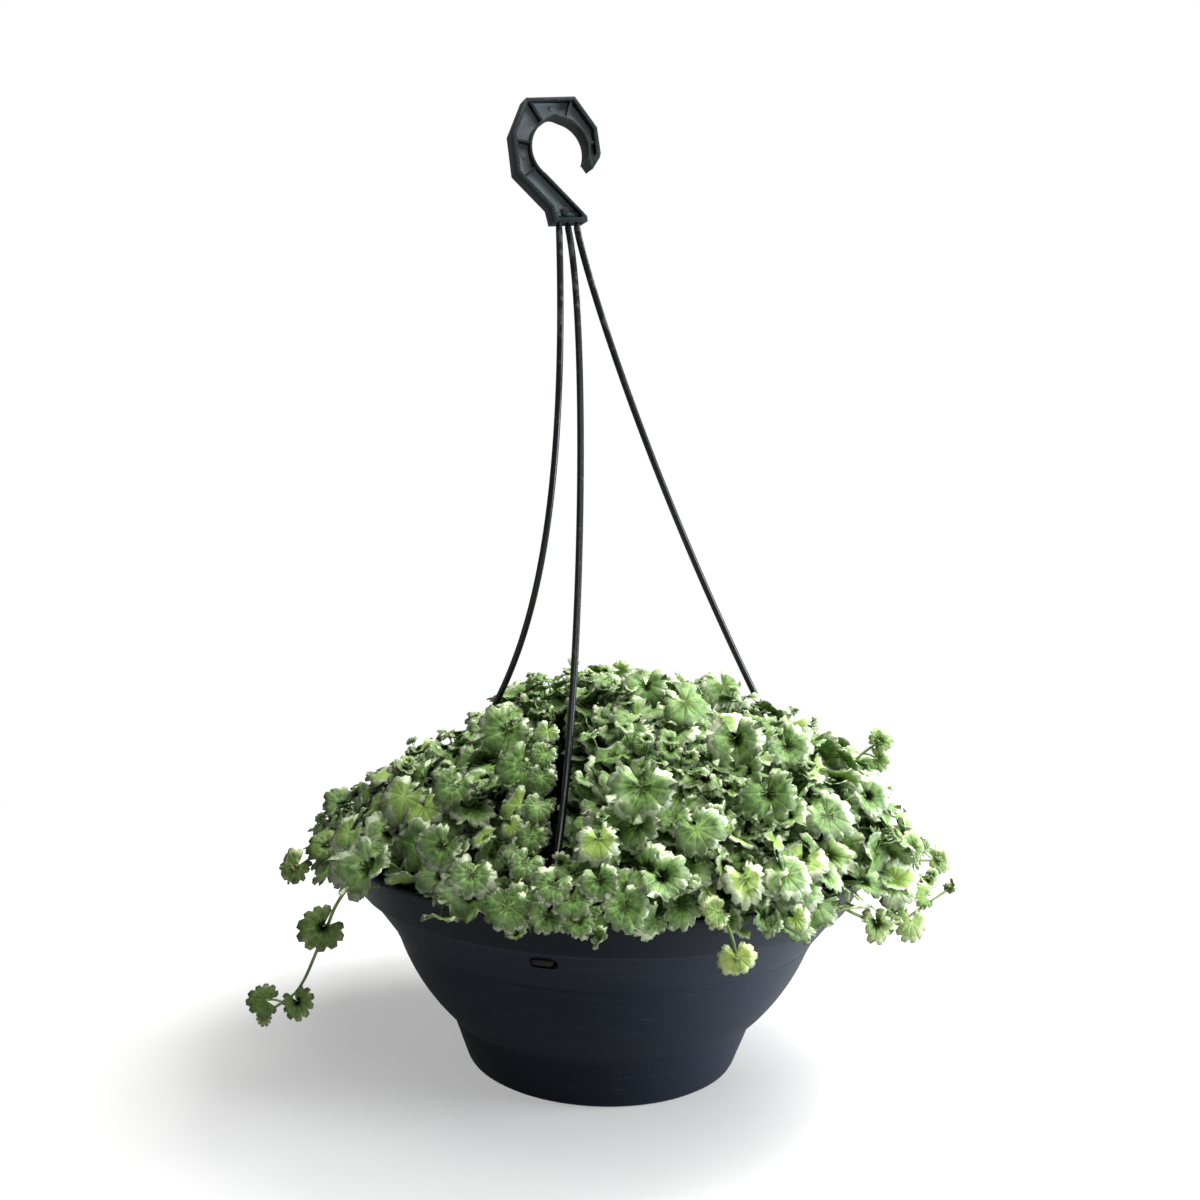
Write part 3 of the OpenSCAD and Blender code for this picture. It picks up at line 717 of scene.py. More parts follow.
tooth_count, leaf_reach = 10, math.radians(157)
leaf_skin = 0.16 * mm
tooth = np.arange(tooth_count)
rim_step = np.append((tooth[:, None] + [0, 0.27, 0.73]).ravel(), tooth_count)
mid_step = np.arange(tooth_count + 1)
ring_steps = np.concatenate([rim_step, mid_step, mid_step])
leaf_angle = np.concatenate([[0], (ring_steps / tooth_count * 2 - 1) * leaf_reach])
leaf_notch = np.concatenate([[0], np.tile([1.0, 0, 0], tooth_count), [1.0], np.zeros(2 * tooth_count + 2)])
leaf_out = np.concatenate([[0], np.ones(len(rim_step)), np.full(2 * tooth_count + 2, 0.56)])
leaf_side = np.concatenate([np.zeros(len(rim_step) + 1), np.ones(tooth_count + 1), -np.ones(tooth_count + 1)])
rim_at = 1 + 3 * tooth
mid_at = 2 + 3 * tooth_count + np.arange(tooth_count + 1)
under_at = mid_at + tooth_count + 1


def leaf_half(ring, flip):
    """Faces of one side of a leaf: a fan from the stalk to the middle ring, then three faces a tooth."""
    fan = np.stack([0 * tooth, ring[1:], ring[:-1]], 1)
    first = np.stack([ring[:-1], rim_at + 1, rim_at], 1)
    last = np.stack([ring[1:], rim_at + 3, rim_at + 2], 1)
    wide = np.stack([ring[:-1], ring[1:], rim_at + 2, rim_at + 1], 1)
    threes = np.vstack([fan, first, last])
    return (threes[:, ::-1], wide[:, ::-1]) if flip else (threes, wide)


lobe_ends = np.array([
    [0, mid_at[0], under_at[0]], [mid_at[0], 1, under_at[0]],
    [0, under_at[-1], mid_at[-1]], [mid_at[-1], under_at[-1], 3 * tooth_count + 1],
])


def leaf_faces(count):
    """Faces of count leaves: the upper sides, the under sides, and the ends of the back lobes."""
    start = len(leaf_angle) * np.arange(count)[:, None, None]
    parts = (*leaf_half(mid_at, False), *leaf_half(under_at, True), lobe_ends)
    return [face for part in parts for face in (part[None] + start).reshape(-1, part.shape[1]).tolist()]


def unit(vectors):
    return vectors / np.linalg.norm(vectors, axis=-1, keepdims=True)


def leaves(base, tip, normal, size, random):
    """Points of closed, lens-thin leaves, and their two maps. Around its stalk a leaf's radius falls from the
    tip to the back lobes and drops at each notch. Both halves bend up from the midrib, the tip sags, and the
    edge ripples. "blade" maps the place on the blade, and "tone" how far out it is and a random number."""
    count = len(base)
    normal = unit(normal)
    tip = unit(tip - (tip * normal).sum(1, keepdims=True) * normal)
    side = np.cross(tip, normal)
    pull = random.uniform(-1, 1, (count, 5, 1))
    chance = random.uniform(0, 1, (count, 1))
    a = leaf_angle[None]
    reach = 0.53 - 0.13 * (np.abs(a) / leaf_reach) ** 2.2
    uneven = 0.09 * pull[:, 0] * np.sin(a) + 0.07 * pull[:, 1] * np.cos(2 * a)
    reach = reach * (1 + uneven + 0.05 * np.sin(3 * a + 3 * pull[:, 2]))
    reach = reach * (1 - leaf_notch * (0.165 + 0.05 * pull[:, 3])) * leaf_out
    x, y = reach * np.sin(a), reach * np.cos(a)
    fold = 0.11 + 0.17 * pull[:, 4]
    droop = 0.30 + 0.25 * pull[:, 2]
    ripple = 0.05 + 0.035 * pull[:, 0]
    z = fold * np.abs(x) * 1.6 - droop * (x**2 + np.maximum(y, 0) ** 2) * 0.9
    z = z + ripple * leaf_out * np.sin(5 * a + 4 * pull[:, 1]) + 0.03 * leaf_out * leaf_notch
    flat = x[..., None] * side[:, None] + y[..., None] * tip[:, None]
    points = base[:, None] + size[:, None, None] * flat
    points = points + (size[:, None] * z + leaf_side * leaf_skin)[..., None] * normal[:, None]
    tone = np.stack(np.broadcast_arrays(leaf_out[None], chance), -1)
    return points, {"blade": np.stack([x, y], -1), "tone": tone}


def bent(start, handle, end, rows):
    """Parabolas from starts to ends, drawn towards the handles, with rows points each."""
    t = np.linspace(0, 1, rows)[None, :, None]
    return (1 - t) ** 2 * start[:, None] + 2 * t * (1 - t) * handle[:, None] + t**2 * end[:, None]


def tubes(paths, radii, sides=5):
    """Round tubes along many paths at once: every ring lies across the way between its neighbours."""
    count, rows = paths.shape[:2]
    way = unit(np.gradient(paths, axis=1))
    whole = unit(paths[:, -1] - paths[:, 0])
    helper = np.where(np.abs(whole[:, 2:]) > 0.8, [[1.0, 0.17, 0]], [[0.1, 0.13, 1.0]])
    across = unit(np.cross(way, helper[:, None]))
    over = np.cross(way, across)
    angle = np.linspace(0, 2 * np.pi, sides, endpoint=False)[:, None]
    spread = np.cos(angle) * across[:, :, None] + np.sin(angle) * over[:, :, None]
    points = paths[:, :, None] + radii[:, :, None, None] * spread
    start = rows * sides * np.arange(count)[:, None, None]
    walls = (np.array(grid_faces(rows, sides))[None] + start).reshape(-1, 4).tolist()
    caps = np.array([np.arange(sides)[::-1], np.arange(sides) + (rows - 1) * sides])
    return points.reshape(-1, 3), walls + (caps[None] + start).reshape(-1, sides).tolist()


def leafy_piece(name, points, maps, stems, finishes):
    """One object of leaves in the first finish and stems in the second. On the stems the maps are zero."""
    stem_points, stem_faces = stems
    blades, blade_faces = points.reshape(-1, 3), leaf_faces(len(points))
    faces = blade_faces + [[len(blades) + corner for corner in face] for face in stem_faces]
    groups = np.repeat([0, 1], [len(blade_faces), len(stem_faces)])
    zeros = np.zeros((len(stem_points), 2))
    maps = {key: np.vstack([value.reshape(-1, 2), zeros]) for key, value in maps.items()}
    return piece(name, np.vstack([blades, stem_points]), faces, finishes, groups, maps)


def paint_leaf(cream, green, deep, young):
    """A painter for leaves: mottled green, paler along the palmate veins, with an uneven cream margin."""

    def paint(wire):
        blade = wire.node("ShaderNodeUVMap", uv_map="blade")
        tone = wire.node("ShaderNodeUVMap", uv_map="tone")
        out, chance = tone.axis(0), tone.axis(1)
        x, y = blade.axis(0), blade.axis(1)
        place = wire.node("ShaderNodeCombineXYZ", {0: x, 1: y, 2: chance * 40.0})
        reach = wire.math("SQRT", x * x + y * y)
        turn = wire.math("PINGPONG", wire.math("ARCTAN2", x, y), math.radians(17.5))
        vein = turn * reach
        blotch = wire.noise(place, 3.6, 3.0, 0.6)
        mottle = wire.noise(place, 9.0, 3.0, 0.6)
        fleck = wire.noise(place, 26.0, 2.0, 0.6)
        edge = out + (blotch - 0.5) * 1.1 + (chance - 0.5) * 0.3
        margin = edge.between(0.78, 0.88)
        shade = edge.between(0.40, 0.75)
        colour = mottle.between(0.35, 0.65).blend(rgb(*deep), rgb(*green))
        colour = (shade * 0.4).blend(colour, rgb(*[0.5 * (a + b) for a, b in zip(green, cream)]))
        colour = (vein.between(0.018, 0.004) * 0.3).blend(colour, rgb(*young))
        colour = (chance.between(0.74, 0.95) * 0.75).blend(colour, rgb(*young))
        where = wire.node("ShaderNodeTexCoord", out=3)
        shaded_side = where.axis(0).between(0.0, -90 * mm) * where.axis(2).between(195 * mm, 150 * mm)
        colour = (margin * 0.92).blend(colour, rgb(*cream))
        colour = (shaded_side * 0.42).blend(colour, rgb(*[0.4 * part for part in deep]))
        colour = (fleck.between(0.62, 0.72) * 0.25).blend(colour, rgb(*deep))
        puckers = vein.between(0.0, 0.05)
        return {
            "Base Color": colour,
            "Roughness": mottle * 0.16 + 0.46,
            "Height": (puckers * 0.5 + fleck * 0.35 + mottle * 0.6, 0.45 * mm),
        }

    return paint


def paint_green_stem(wire):
    place = wire.node("ShaderNodeTexCoord", out=3)
    patches = wire.noise(place, 45.0, 3.0)
    hairs = wire.noise(place, 1500.0, 2.0)
    colour = patches.between(0.35, 0.65).blend(rgb(0.10, 0.17, 0.045), rgb(0.24, 0.33, 0.10))
    colour = (patches.between(0.62, 0.8) * 0.5).blend(colour, rgb(0.16, 0.07, 0.05))
    return {"Base Color": colour, "Roughness": patches * 0.1 + 0.5, "Height": (hairs, 0.1 * mm)}


variegated_leaf = material(
    "variegated_leaf",
    paint_leaf((0.67, 0.77, 0.51), (0.155, 0.28, 0.066), (0.06, 0.135, 0.027), (0.37, 0.54, 0.12)),
    Specular_IOR_Level=0.28,
)
green_stem = material("plant_stem", paint_green_stem, Specular_IOR_Level=0.35)

# Each mound: its middle's x, its radius, the height of its top, and how round it is.
brim_z = 118 * mm
mounds = {
    "left": (-10 * mm, 166 * mm, 204 * mm, 1.8),
    "right": (16 * mm, 168 * mm, 221 * mm, 1.3),
    "back": (4 * mm, 166 * mm, 223 * mm, 1.5),
}
out_angle = {name: math.atan2(*(line[-1] - line[0])[[1, 0]]) for name, line in stem_lines.items()}
wedges = {
    "left": (out_angle["left"], out_angle["front"] + 2 * np.pi),
    "right": (out_angle["front"], out_angle["right"]),
    "back": (out_angle["right"], out_angle["left"]),
}

swing, leafy_below = math.radians(3), 270 * mm
swept_stems = []
for name, line in stem_lines.items():
    low = line[line[:, 2] < leafy_below]
    head = hub + {"front": 0, "right": 1, "left": -1}[name] * head_pitch * head_row
    out = np.array([math.cos(out_angle[name]), math.sin(out_angle[name]), 0])
    for part in np.linspace(0, 1, 9):
        turn, from_head = part * swing, low - head
        level, drop = from_head @ out, from_head[:, 2]
        moved = from_head + (level * (math.cos(turn) - 1) + drop * math.sin(turn))[:, None] * out
        moved[:, 2] = drop * math.cos(turn) - level * math.sin(turn)
        swept_stems.append(head + moved)
swept_stems = np.vstack(swept_stems)


def clear_of_stems(points, room):
    """Which groups of points stay more than room away from every place a stem swings through."""
    flat = points.reshape(-1, 3).astype(np.float32)
    near = np.full(len(flat), 1.0, np.float32)
    for block in np.array_split(swept_stems.astype(np.float32), 24):
        apart = np.linalg.norm(flat[:, None] - block[None], axis=2)
        near = np.minimum(near, apart.min(axis=1))
    return near.reshape(points.shape[:2]).min(axis=1) > room


def over_front_stem(points):
    """Which leaves would hide the front stem: they cross its line, further out than it is at their height."""
    rod = stem_lines["front"][::-1] - hub
    out = np.array([math.cos(out_angle["front"]), math.sin(out_angle["front"]), 0])
    across = np.array([-out[1], out[0], 0])
    height = points[..., 2].mean(axis=1)
    rod_out, rod_side = (np.interp(height, rod[:, 2] + hub[2], rod @ way) for way in (out, across))
    side = (points - hub) @ across - rod_side[:, None]
    half_w, hidden_below = 2.6 * mm, 152 * mm
    crosses = (side.min(axis=1) < half_w) & (side.max(axis=1) > -half_w)
    return crosses & (((points - hub) @ out).mean(axis=1) > rod_out) & (height > hidden_below)


def lifted_over_rim(points):
    """The points, with those inside the bowl's wall or rim laid on top of the rim."""
    r, z = np.hypot(points[..., 0], points[..., 1]), points[..., 2]
    room, cover = 1.5 * mm, rim_z + 1.2 * mm
    wall_in = np.interp(z, [bead_z, band_z, rim_z], [bead_r - skin, band_r - skin, rim_r - 2.4 * mm]) - room
    buried = (r > wall_in) & (r < rim_r + room) & (z < cover)
    points = points.copy()
    points[..., 2] = np.where(buried, cover + 0.15 * (z - cover) + 2 * mm, z)
    return points


def on_mound(mound, angle, t):
    """A place on a mound and its outward normal. Its radius is spread * t, and its height falls from the top to
    the brim as (1 - t^2.2) to the power round / 2."""
    shift, spread, top, round_ = mound
    fall = 1 - np.clip(t, 0, 0.995) ** 2.2
    r, z = spread * t, brim_z + (top - brim_z) * fall ** (round_ / 2)
    slope = (top - brim_z) * round_ / 2 * fall ** (round_ / 2 - 1) * 2.2 * t**1.2 / spread
    c, s = np.cos(angle), np.sin(angle)
    place = np.stack([shift + r * c, r * s, z], 1)
    return place, unit(np.stack([slope * c, slope * s, np.ones_like(t)], 1))


def in_wedge(name, place):
    """Which places lie between the two stems that bound a plant."""
    low, high = wedges[name]
    return (np.arctan2(place[:, 1], place[:, 0] - hub[0]) - low) % (2 * np.pi) < high - low


def scattered(name, gap, random, tries):
    """Places on a plant's mound that are more than gap apart, taken from random tries, and their normals."""
    angle = random.uniform(0, 2 * np.pi, tries)
    t = random.uniform(0, 1.0, tries) ** 0.5
    place, normal = on_mound(mounds[name], angle, t)
    keep = random.uniform(0, 1, tries) < 0.35 / np.clip(normal[:, 2], 0.35, 1)
    keep &= in_wedge(name, place)
    place, normal = place[keep], normal[keep]
    chosen = []
    for index in range(len(place)):
        if not chosen or np.linalg.norm(place[chosen] - place[index], axis=1).min() > gap:
            chosen.append(index)
    return place[chosen], normal[chosen]


def slope_frame(normal, random, swirl):
    """For each place a direction down the slope, turned by up to swirl about the normal."""
    down = np.array([0, 0, -1.0]) + normal[:, 2:] * normal
    down = unit(down + 1e-4 * np.array([0.3, -1, 0]))
    turn = random.uniform(-swirl, swirl, (len(normal), 1))
    return down * np.cos(turn) + np.cross(normal, down) * np.sin(turn)


# Leaves placed one by one: x, y, z and size in mm, and the turn of the tip in degrees.
outer_leaves = {
    "left": [
        (-33, -88, 200, 14, -20), (-34, -98, 190, 15, -25), (-35, -108, 180, 16, -20), (-36, -118, 168, 17, -30),
        (-38, -129, 156, 17, -20), (-40, -140, 146, 18, -30), (-40, -156, 134, 19, -30), (-118, -116, 133, 36, -20),
        (-136, -79, 143, 24, -60), (-46, -159, 130, 23, -10), (-65, -143, 140, 24, -20), (-81, -126, 149, 25, -40),
        (-107, -82, 162, 28, -40), (-80, -93, 171, 25, -30), (-56, -58, 193, 32, -30), (-46, -93, 182, 28, -30),
    ],
    "right": [
        (-26, -160, 142, 20, -30), (-28, -161, 128, 18, -15), (-17, -164, 137, 20, 0), (-4, -162, 145, 19, 20),
        (-13, -168, 128, 15, 0), (8, -168, 135, 23, 25), (25, -161, 147, 25, 50), (62, -156, 145, 23, 20),
        (83, -147, 145, 26, 40), (15, -132, 180, 33, 10), (62, -96, 198, 31, 10), (41, -66, 213, 32, 60),
        (-5, -151, 160, 23, 10), (41, -146, 165, 26, 30), (-9, -131, 178, 22, 10), (76, -122, 177, 29, 20),
        (107, -114, 166, 28, 40), (134, -80, 169, 25, 60), (91, -83, 194, 27, 40), (-6, -85, 207, 26, 0),
        (18, -49, 218, 26, 0), (63, -28, 216, 28, 30),
    ],
    "back": [],
}

# Layers of a mound, outermost first: gap, scale of the mound, least and largest leaf in mm, and tilt.
layer_table = ((13, 1.0, 18, 34, 0.38), (14.5, 0.90, 20, 32, 0.42), (17, 0.78, 22, 34, 0.5))
# Leaves of a pale young tip: turn in degrees, then how far back and out and how wide in mm.
young_table = ((0, 0, 0.5, 7), (180, 0.5, 0.5, 7), (90, 5, 1.1, 11), (270, 7, 1.1, 13))
corridor_half_w, behind_stem, hand_room, hanging_share, run_rows = 22 * mm, 70, 11 * mm, 0.12, 14
stray_high, stray_low = np.array([9, 9, 6]) * mm, np.array([9, 9, 22]) * mm

for seed, name in enumerate(mounds):
    random = np.random.default_rng(40 + seed)
    root_a = math.radians(plant_angles[name])
    root = np.array([plant_r * math.cos(root_a), plant_r * math.sin(root_a), soil_z])
    centre = np.array([mounds[name][0], 0, brim_z])

    layers = []
    for gap, scale, size_low, size_high, tilt in layer_table:
        place, normal = scattered(name, gap * mm, random, 9000)
        lump = np.clip(rolling(place, 52 * mm, random) * 0.5 + 0.5, 0, 1)
        place = centre + (place - centre) * scale - normal * ((4 + 11 * lump)[:, None] * mm)
        facing = unit(normal * 0.72 + [0, 0, 0.36] + tilt * random.normal(size=place.shape))
        size = random.uniform(size_low, size_high, len(place)) * mm
        size *= 1 - 0.22 * lump * (random.uniform(0, 1, len(place)) > 0.5)
        layers.append((place, facing, slope_frame(normal, random, 1.15), size))
    place, normal = scattered(name, 6.5 * mm, random, 12000)
    aside = [np.abs((place - hub)[:, :2] @ [-math.sin(a), math.cos(a)]) for a in out_angle.values()]
    near_stem = np.min(aside, axis=0) < corridor_half_w
    place, normal = place[near_stem], normal[near_stem]
    place = place - normal * random.uniform(2, 16, (len(place), 1)) * mm
    facing = unit(normal * 0.6 + [0, 0, 0.4] + 0.4 * random.normal(size=place.shape))
    layers.append((place, facing, slope_frame(normal, random, 1.5), random.uniform(9, 15, len(place)) * mm))
    for stem_name, line in stem_lines.items():
        out = np.array([math.cos(out_angle[stem_name]), math.sin(out_angle[stem_name]), 0])
        across = np.array([-out[1], out[0], 0])
        low = line[(line[:, 2] < 205 * mm) & (line[:, 2] > 125 * mm)]
        place = low[random.integers(0, len(low), behind_stem)]
        place = place + out * random.uniform(-48, -17, (behind_stem, 1)) * mm
        place = place + across * random.uniform(-18, 18, (behind_stem, 1)) * mm
        place[:, 2] -= random.uniform(4, 20, behind_stem) * mm
        place = place[in_wedge(name, place)]
        facing = unit(out * 0.7 + [0, 0, 0.55] + 0.4 * random.normal(size=place.shape))
        way = slope_frame(np.repeat(out[None], len(place), 0), random, 1.2)
        layers.append((place, facing, way, random.uniform(15, 24, len(place)) * mm))
    place, facing, tip, size = (np.concatenate(part) for part in zip(*layers))
    keep = place[:, 2] > brim_z - 8 * mm
    place, facing, tip, size = place[keep], facing[keep], tip[keep], size[keep]
    if outer_leaves[name]:
        chosen = np.array(outer_leaves[name], float)
        spot, turn = chosen[:, :3] * mm, np.radians(chosen[:, 4:])
        radial = unit(spot * [1, 1, 0])
        apart = np.linalg.norm(place[:, None] - spot[None], axis=2).min(axis=1) > hand_room
        place, facing, tip, size = place[apart], facing[apart], tip[apart], size[apart]
        place = np.vstack([place, spot])
        spot_face = unit(radial * 0.45 + [0, -0.75, 0.62] + 0.22 * random.normal(size=spot.shape))
        facing = np.vstack([facing, spot_face])
        tip = np.vstack([tip, np.sin(turn) * [1.0, 0, 0] + np.cos(turn) * [0, -0.35, -0.94]])
        size = np.concatenate([size, chosen[:, 3] * mm])

    sprig, sprig_way = scattered(name, 46 * mm, random, 5000)
    sprig_way = unit(sprig_way * 0.6 + [0, 0, 0.5] + 0.35 * random.normal(size=sprig.shape))
    sprig = sprig + sprig_way * random.uniform(-4, 4, (len(sprig), 1)) * mm
    keep = sprig[:, 2] > brim_z + 2 * mm
    sprig, sprig_way = sprig[keep], sprig_way[keep]
    around = unit(np.cross(sprig_way, [0.3, 0.2, 1.0]))
    beside = np.cross(sprig_way, around)
    young = []
    for turn, back, out, width in young_table:
        a = math.radians(turn) + random.uniform(-0.4, 0.4, (len(sprig), 1))
        leaf_way = around * np.cos(a) + beside * np.sin(a)
        leaf_base = sprig - sprig_way * back * mm + leaf_way * out * mm
        leaf_face = unit(sprig_way - leaf_way * (0.7 - 0.1 * back) + 0.15 * random.normal(size=sprig.shape))
        leaf_size = width * mm * random.uniform(0.8, 1.25, len(sprig))
        young.append((leaf_base, leaf_face, leaf_way + 0.5 * sprig_way, leaf_size))
    base = np.vstack([place - tip * (size * 0.1)[:, None]] + [part[0] for part in young])
    normal = np.vstack([facing] + [part[1] for part in young])
    tip = np.vstack([tip] + [part[2] for part in young])
    size = np.concatenate([size] + [part[3] for part in young])

    points, maps = leaves(base, tip, normal, size, random)
    points = lifted_over_rim(points)
    fits = clear_of_stems(points, 2.9 * mm + 0.08 * size) & ~over_front_stem(points)
    box_low, box_high = (np.array(corner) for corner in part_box(f"foliage_{name}"))
    outermost = np.zeros(len(fits), bool)
    outermost[len(place) - len(outer_leaves[name]) : len(place)] = True
    low_corner, high_corner = points.min(axis=1), points.max(axis=1)
    within = (high_corner < box_high + stray_high).all(axis=1) & (low_corner > box_low - stray_low).all(axis=1)
    fits &= within | outermost
    r = np.hypot(points[..., 0], points[..., 1])
    fits &= ~((r.max(axis=1) > bead_r) & (r.min(axis=1) < rim_r) & (low_corner[:, 2] < band_z + 6 * mm))
    hanging = random.uniform(0, 1, len(fits)) < hanging_share
    fits &= (low_corner[:, 2] > rim_z - 9 * mm) | hanging | outermost

    base, tip, normal, size = base[fits], tip[fits], normal[fits], size[fits]
    inward = unit(root + [0, 0, 0.02] - base)
    length = random.uniform(22, 40, len(base)) * mm
    length = np.minimum(length, 0.8 * np.linalg.norm(root - base, axis=1))[:, None]
    small = (size < 16 * mm)[:, None]
    length = np.where(small, 8 * mm, length)
    joint = base - unit(normal) * 0.1 * mm
    bend = joint - unit(tip) * 0.35 * length + inward * 0.25 * length
    foot = joint + inward * length - 0.15 * length * [0, 0, 1]
    stalks = bent(joint, bend, foot, 5)
    thin = np.where(small, 0.4 * mm, 0.62 * mm) * np.linspace(0.85, 1.15, 5)
    free = clear_of_stems(stalks, 4.2 * mm)
    kept_maps = {key: value[fits] for key, value in maps.items()}
    stems, finishes = tubes(stalks[free], thin[free], 4), [variegated_leaf, green_stem]
    foliage = leafy_piece(f"leaves_{name}", points[fits], kept_maps, stems, finishes)
    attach(foliage, "bowl")
    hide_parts(f"foliage_{name}")

    ends, _ = scattered(name, 24 * mm, random, 3000)
    ends = centre + (ends - centre) * 0.84
    ends[:, 2] = np.maximum(ends[:, 2], rim_z + 4 * mm)
    count = len(ends)
    turn = random.uniform(0, 2 * np.pi, count)
    feet = root + np.stack([9 * mm * np.cos(turn), 9 * mm * np.sin(turn), np.full(count, -2 * mm)], 1)
    lift = feet + (ends - feet) * [0.35, 0.35, 0.8] + random.normal(size=ends.shape) * 6 * mm
    wave = np.linspace(0, 19, run_rows)[None, :, None] + turn[:, None, None]
    runs = bent(feet, lift, ends, run_rows) + 0.8 * mm * np.sin(wave)
    runs = runs[clear_of_stems(runs, 5 * mm)]
    points, faces = tubes(runs, np.broadcast_to(np.linspace(1.25, 0.75, run_rows) * mm, runs.shape[:2]), 6)
    crown = piece(f"plant_stems_{name}", points, faces, [green_stem])
    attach(crown, "bowl")
    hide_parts(f"crown_{name}")


# ---------------------------------------------------------------- trailing shoots
# Long shoots that trail over the rim or stand out of the mound: a thin, slightly hairy stem with pairs of
# crinkled leaves on short stalks and a bud of tiny leaves at its tip.

shoot_leaf = material(
    "shoot_leaf",
    paint_leaf((0.58, 0.68, 0.34), (0.16, 0.27, 0.06), (0.07, 0.14, 0.025), (0.40, 0.52, 0.12)),
    Specular_IOR_Level=0.28,
)


def smooth_route(points, steps):
    """A smooth curve through every point, with steps points to each stretch between neighbours."""
    padded = np.vstack([points[:1], points, points[-1:]])
    p0, p1, p2, p3 = padded[:-3, None], padded[1:-2, None], padded[2:-1, None], padded[3:, None]
    t = np.linspace(0, 1, steps, endpoint=False)[None, :, None]
    square, cube = 2 * p0 - 5 * p1 + 4 * p2 - p3, 3 * p1 - p0 - 3 * p2 + p3
    curve = 0.5 * (2 * p1 + (p2 - p0) * t + square * t**2 + cube * t**3)
    return np.vstack([curve.reshape(-1, 3), points[-1:]])


# Each shoot: the places its stem goes through, and its leaves. A leaf has the place it leaves the stem at, its
# middle and its radius in mm, and its tilt about x, y and z in degrees.
shoots = {
    "trailing_shoot_left": (
        [(-112, -78, 129), (-128, -88, 122), (-137, -90, 110), (-142, -88, 98), (-147, -86, 86),
         (-151, -84, 76), (-155, -82, 67), (-160, -80, 59), (-167, -78, 53), (-176, -75, 46)],
        [(3, (-147, -96, 96), 11, (60, 0, 10)), (8, (-179, -82, 56), 8, (70, 20, 0)),
         (7, (-156, -88, 54), 8, (60, -10, 0)), (9, (-178, -76, 42), 4, (80, 0, 0))]),
    "side_shoot_left": (
        [(-122, -54, 130), (-139, -60, 129), (-149, -62, 129), (-157, -62, 125), (-164, -62, 120)],
        [(2, (-151, -68, 133), 9, (40, 10, 0)), (4, (-167, -64, 118), 9, (60, 0, -20))]),
    "trailing_shoot_front": (
        [(40, -124, 141), (45, -146, 139), (51, -157, 132), (56, -161, 122), (58, -162, 114)],
        [(4, (59, -166, 111), 8, (80, 0, 0)), (2, (46, -164, 133), 7, (60, 0, 20))]),
    "trailing_shoot_right": (
        [(84, -98, 137), (94, -109, 136), (105, -114, 130), (118, -109, 120), (132, -98, 112),
         (146, -84, 106), (157, -72, 105), (169, -62, 109), (184, -52, 115)],
        [(4, (136, -104, 108), 9, (60, 0, 30)), (6, (158, -79, 101), 9, (70, 0, 20)),
         (5, (144, -90, 116), 8, (50, 0, 40)), (7, (164, -70, 117), 7, (50, 0, 30)),
         (8, (187, -50, 117), 4, (0, 60, 0))]),
    "side_shoot_right": (
        [(124, -68, 138), (138, -66, 135), (149, -62, 133), (158, -58, 132), (167, -54, 131), (177, -50, 130)],
        [(3, (164, -56, 142), 8, (70, 0, 30)), (5, (181, -50, 129), 7, (60, 30, 0)),
         (2, (147, -66, 142), 7, (40, 0, 0))]),
    "upper_shoot_right": (
        [(128, 2, 156), (137, 1, 168), (146, 0, 178), (154, 0, 184)],
        [(3, (157, 0, 188), 7, (60, 20, 0)), (2, (157, -3, 174), 7, (70, 30, 0))]),
    "trailing_shoot_back_left": (
        [(-80, 118, 134), (-90, 134, 133), (-98, 143, 125), (-103, 148, 112), (-106, 151, 100), (-110, 154, 88)],
        [(3, (-103, 156, 108), 8, (-70, 0, 30)), (5, (-112, 158, 83), 8, (-60, 0, 30))]),
    "trailing_shoot_back_right": (
        [(82, 112, 136), (94, 128, 134), (102, 138, 127), (108, 146, 115), (114, 150, 103)],
        [(3, (107, 155, 112), 8, (-70, 0, -30)), (4, (116, 154, 98), 8, (-60, 0, -30))]),
}

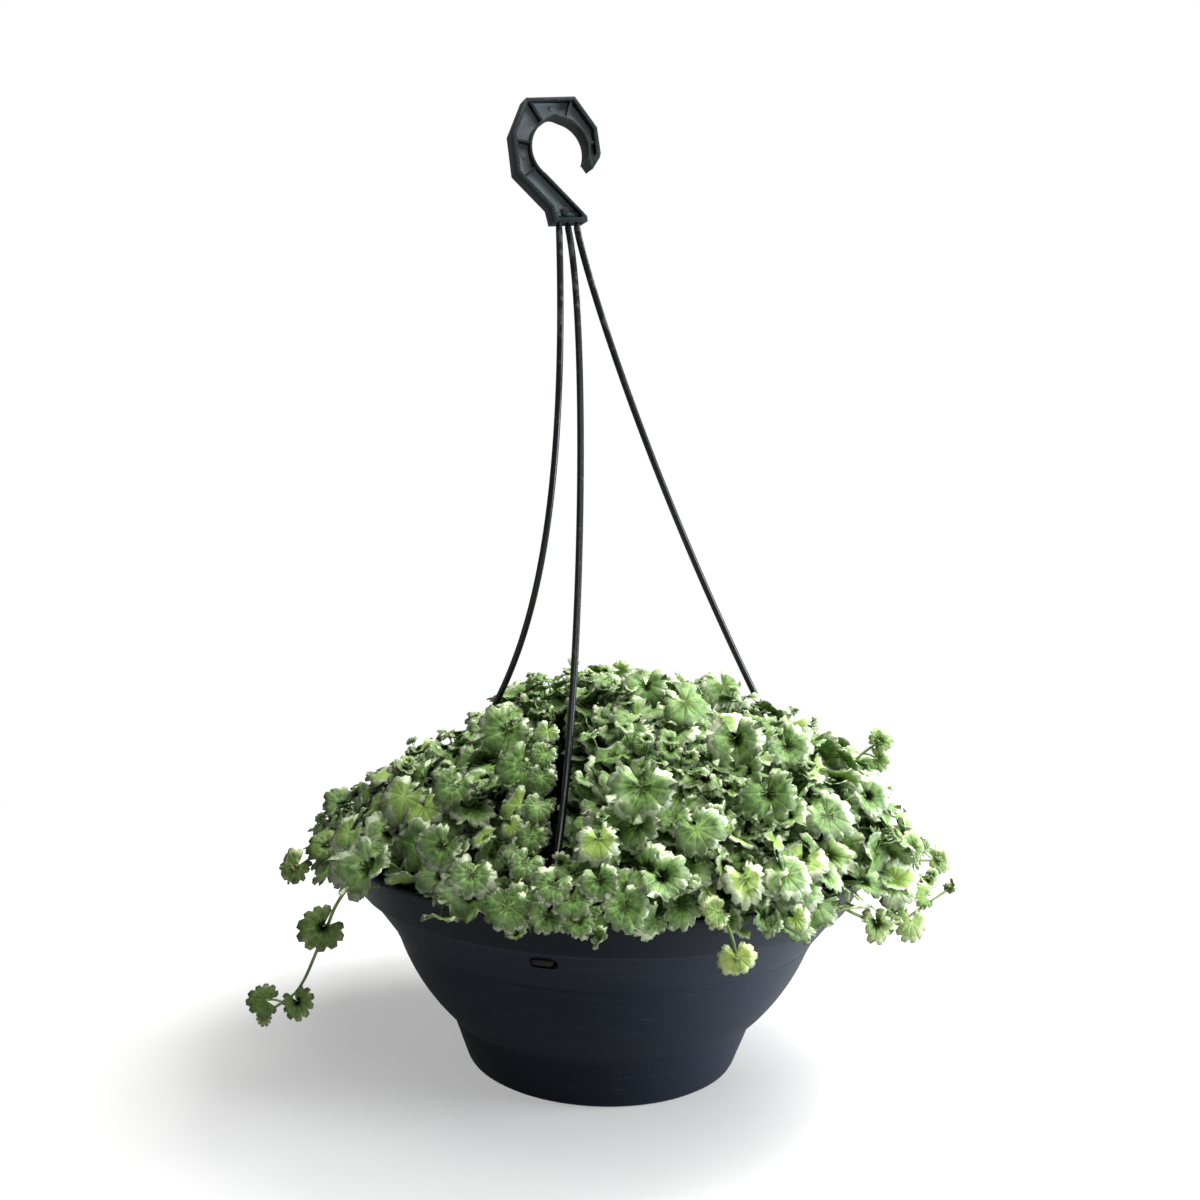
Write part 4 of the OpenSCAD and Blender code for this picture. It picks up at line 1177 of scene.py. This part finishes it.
for seed, (name, (route, blades)) in enumerate(shoots.items()):
    random = np.random.default_rng(90 + seed)
    route = np.array(route, float) * mm
    line = smooth_route(route, 6)
    thick = np.linspace(1.0, 0.65, len(line)) * mm
    parts = [tubes(line[None], thick[None], 8)]
    middles = np.array([middle for _, middle, _, _ in blades], float) * mm
    roots = route[[at for at, _, _, _ in blades]]
    radius = np.array([size for _, _, size, _ in blades]) * mm
    tilt_x, tilt_y, tilt_z = np.radians([tilt for _, _, _, tilt in blades]).T
    flat = np.stack([np.sin(tilt_y) * np.cos(tilt_x), -np.sin(tilt_x), np.cos(tilt_y) * np.cos(tilt_x)], 1)
    face = np.stack([flat[:, 0] * np.cos(tilt_z) - flat[:, 1] * np.sin(tilt_z),
                     flat[:, 0] * np.sin(tilt_z) + flat[:, 1] * np.cos(tilt_z), flat[:, 2]], 1)
    away = unit(middles - roots)
    away = unit(away - (away * face).sum(1, keepdims=True) * face * 0.8)
    sizes = 2.25 * radius
    stalk_end = middles - away * (0.22 * sizes)[:, None]
    stalks = bent(roots, 0.5 * (roots + stalk_end) + [0, 0, 1.5 * mm], stalk_end, 6)
    parts.append(tubes(stalks, np.full(stalks.shape[:2], 0.6 * mm), 6))

    end, end_way = route[-1], unit(route[-1] - route[-2])
    around = unit(np.cross(end_way, [0.2, 0.9, 0.3]))
    turns = np.radians([0, 120, 240, 60])[:, None]
    bud_way = unit(np.cos(turns) * around + np.sin(turns) * np.cross(end_way, around) + 1.4 * end_way)
    bud_size = np.array([7, 6.5, 6, 5]) * mm
    leaf_base = np.vstack([stalk_end, end + 0.2 * mm * bud_way])
    leaf_tip = np.vstack([away, bud_way])
    leaf_face = np.vstack([face, unit(end_way - 0.6 * bud_way)])
    leaf_sizes = np.concatenate([sizes, bud_size])
    points, maps = leaves(leaf_base, leaf_tip, leaf_face, leaf_sizes, random)
    finishes = [shoot_leaf, green_stem]
    shoot = leafy_piece(f"{name}_leaves", lifted_over_rim(points), maps, joined(*parts), finishes)
    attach(shoot, "bowl")
    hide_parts(name)
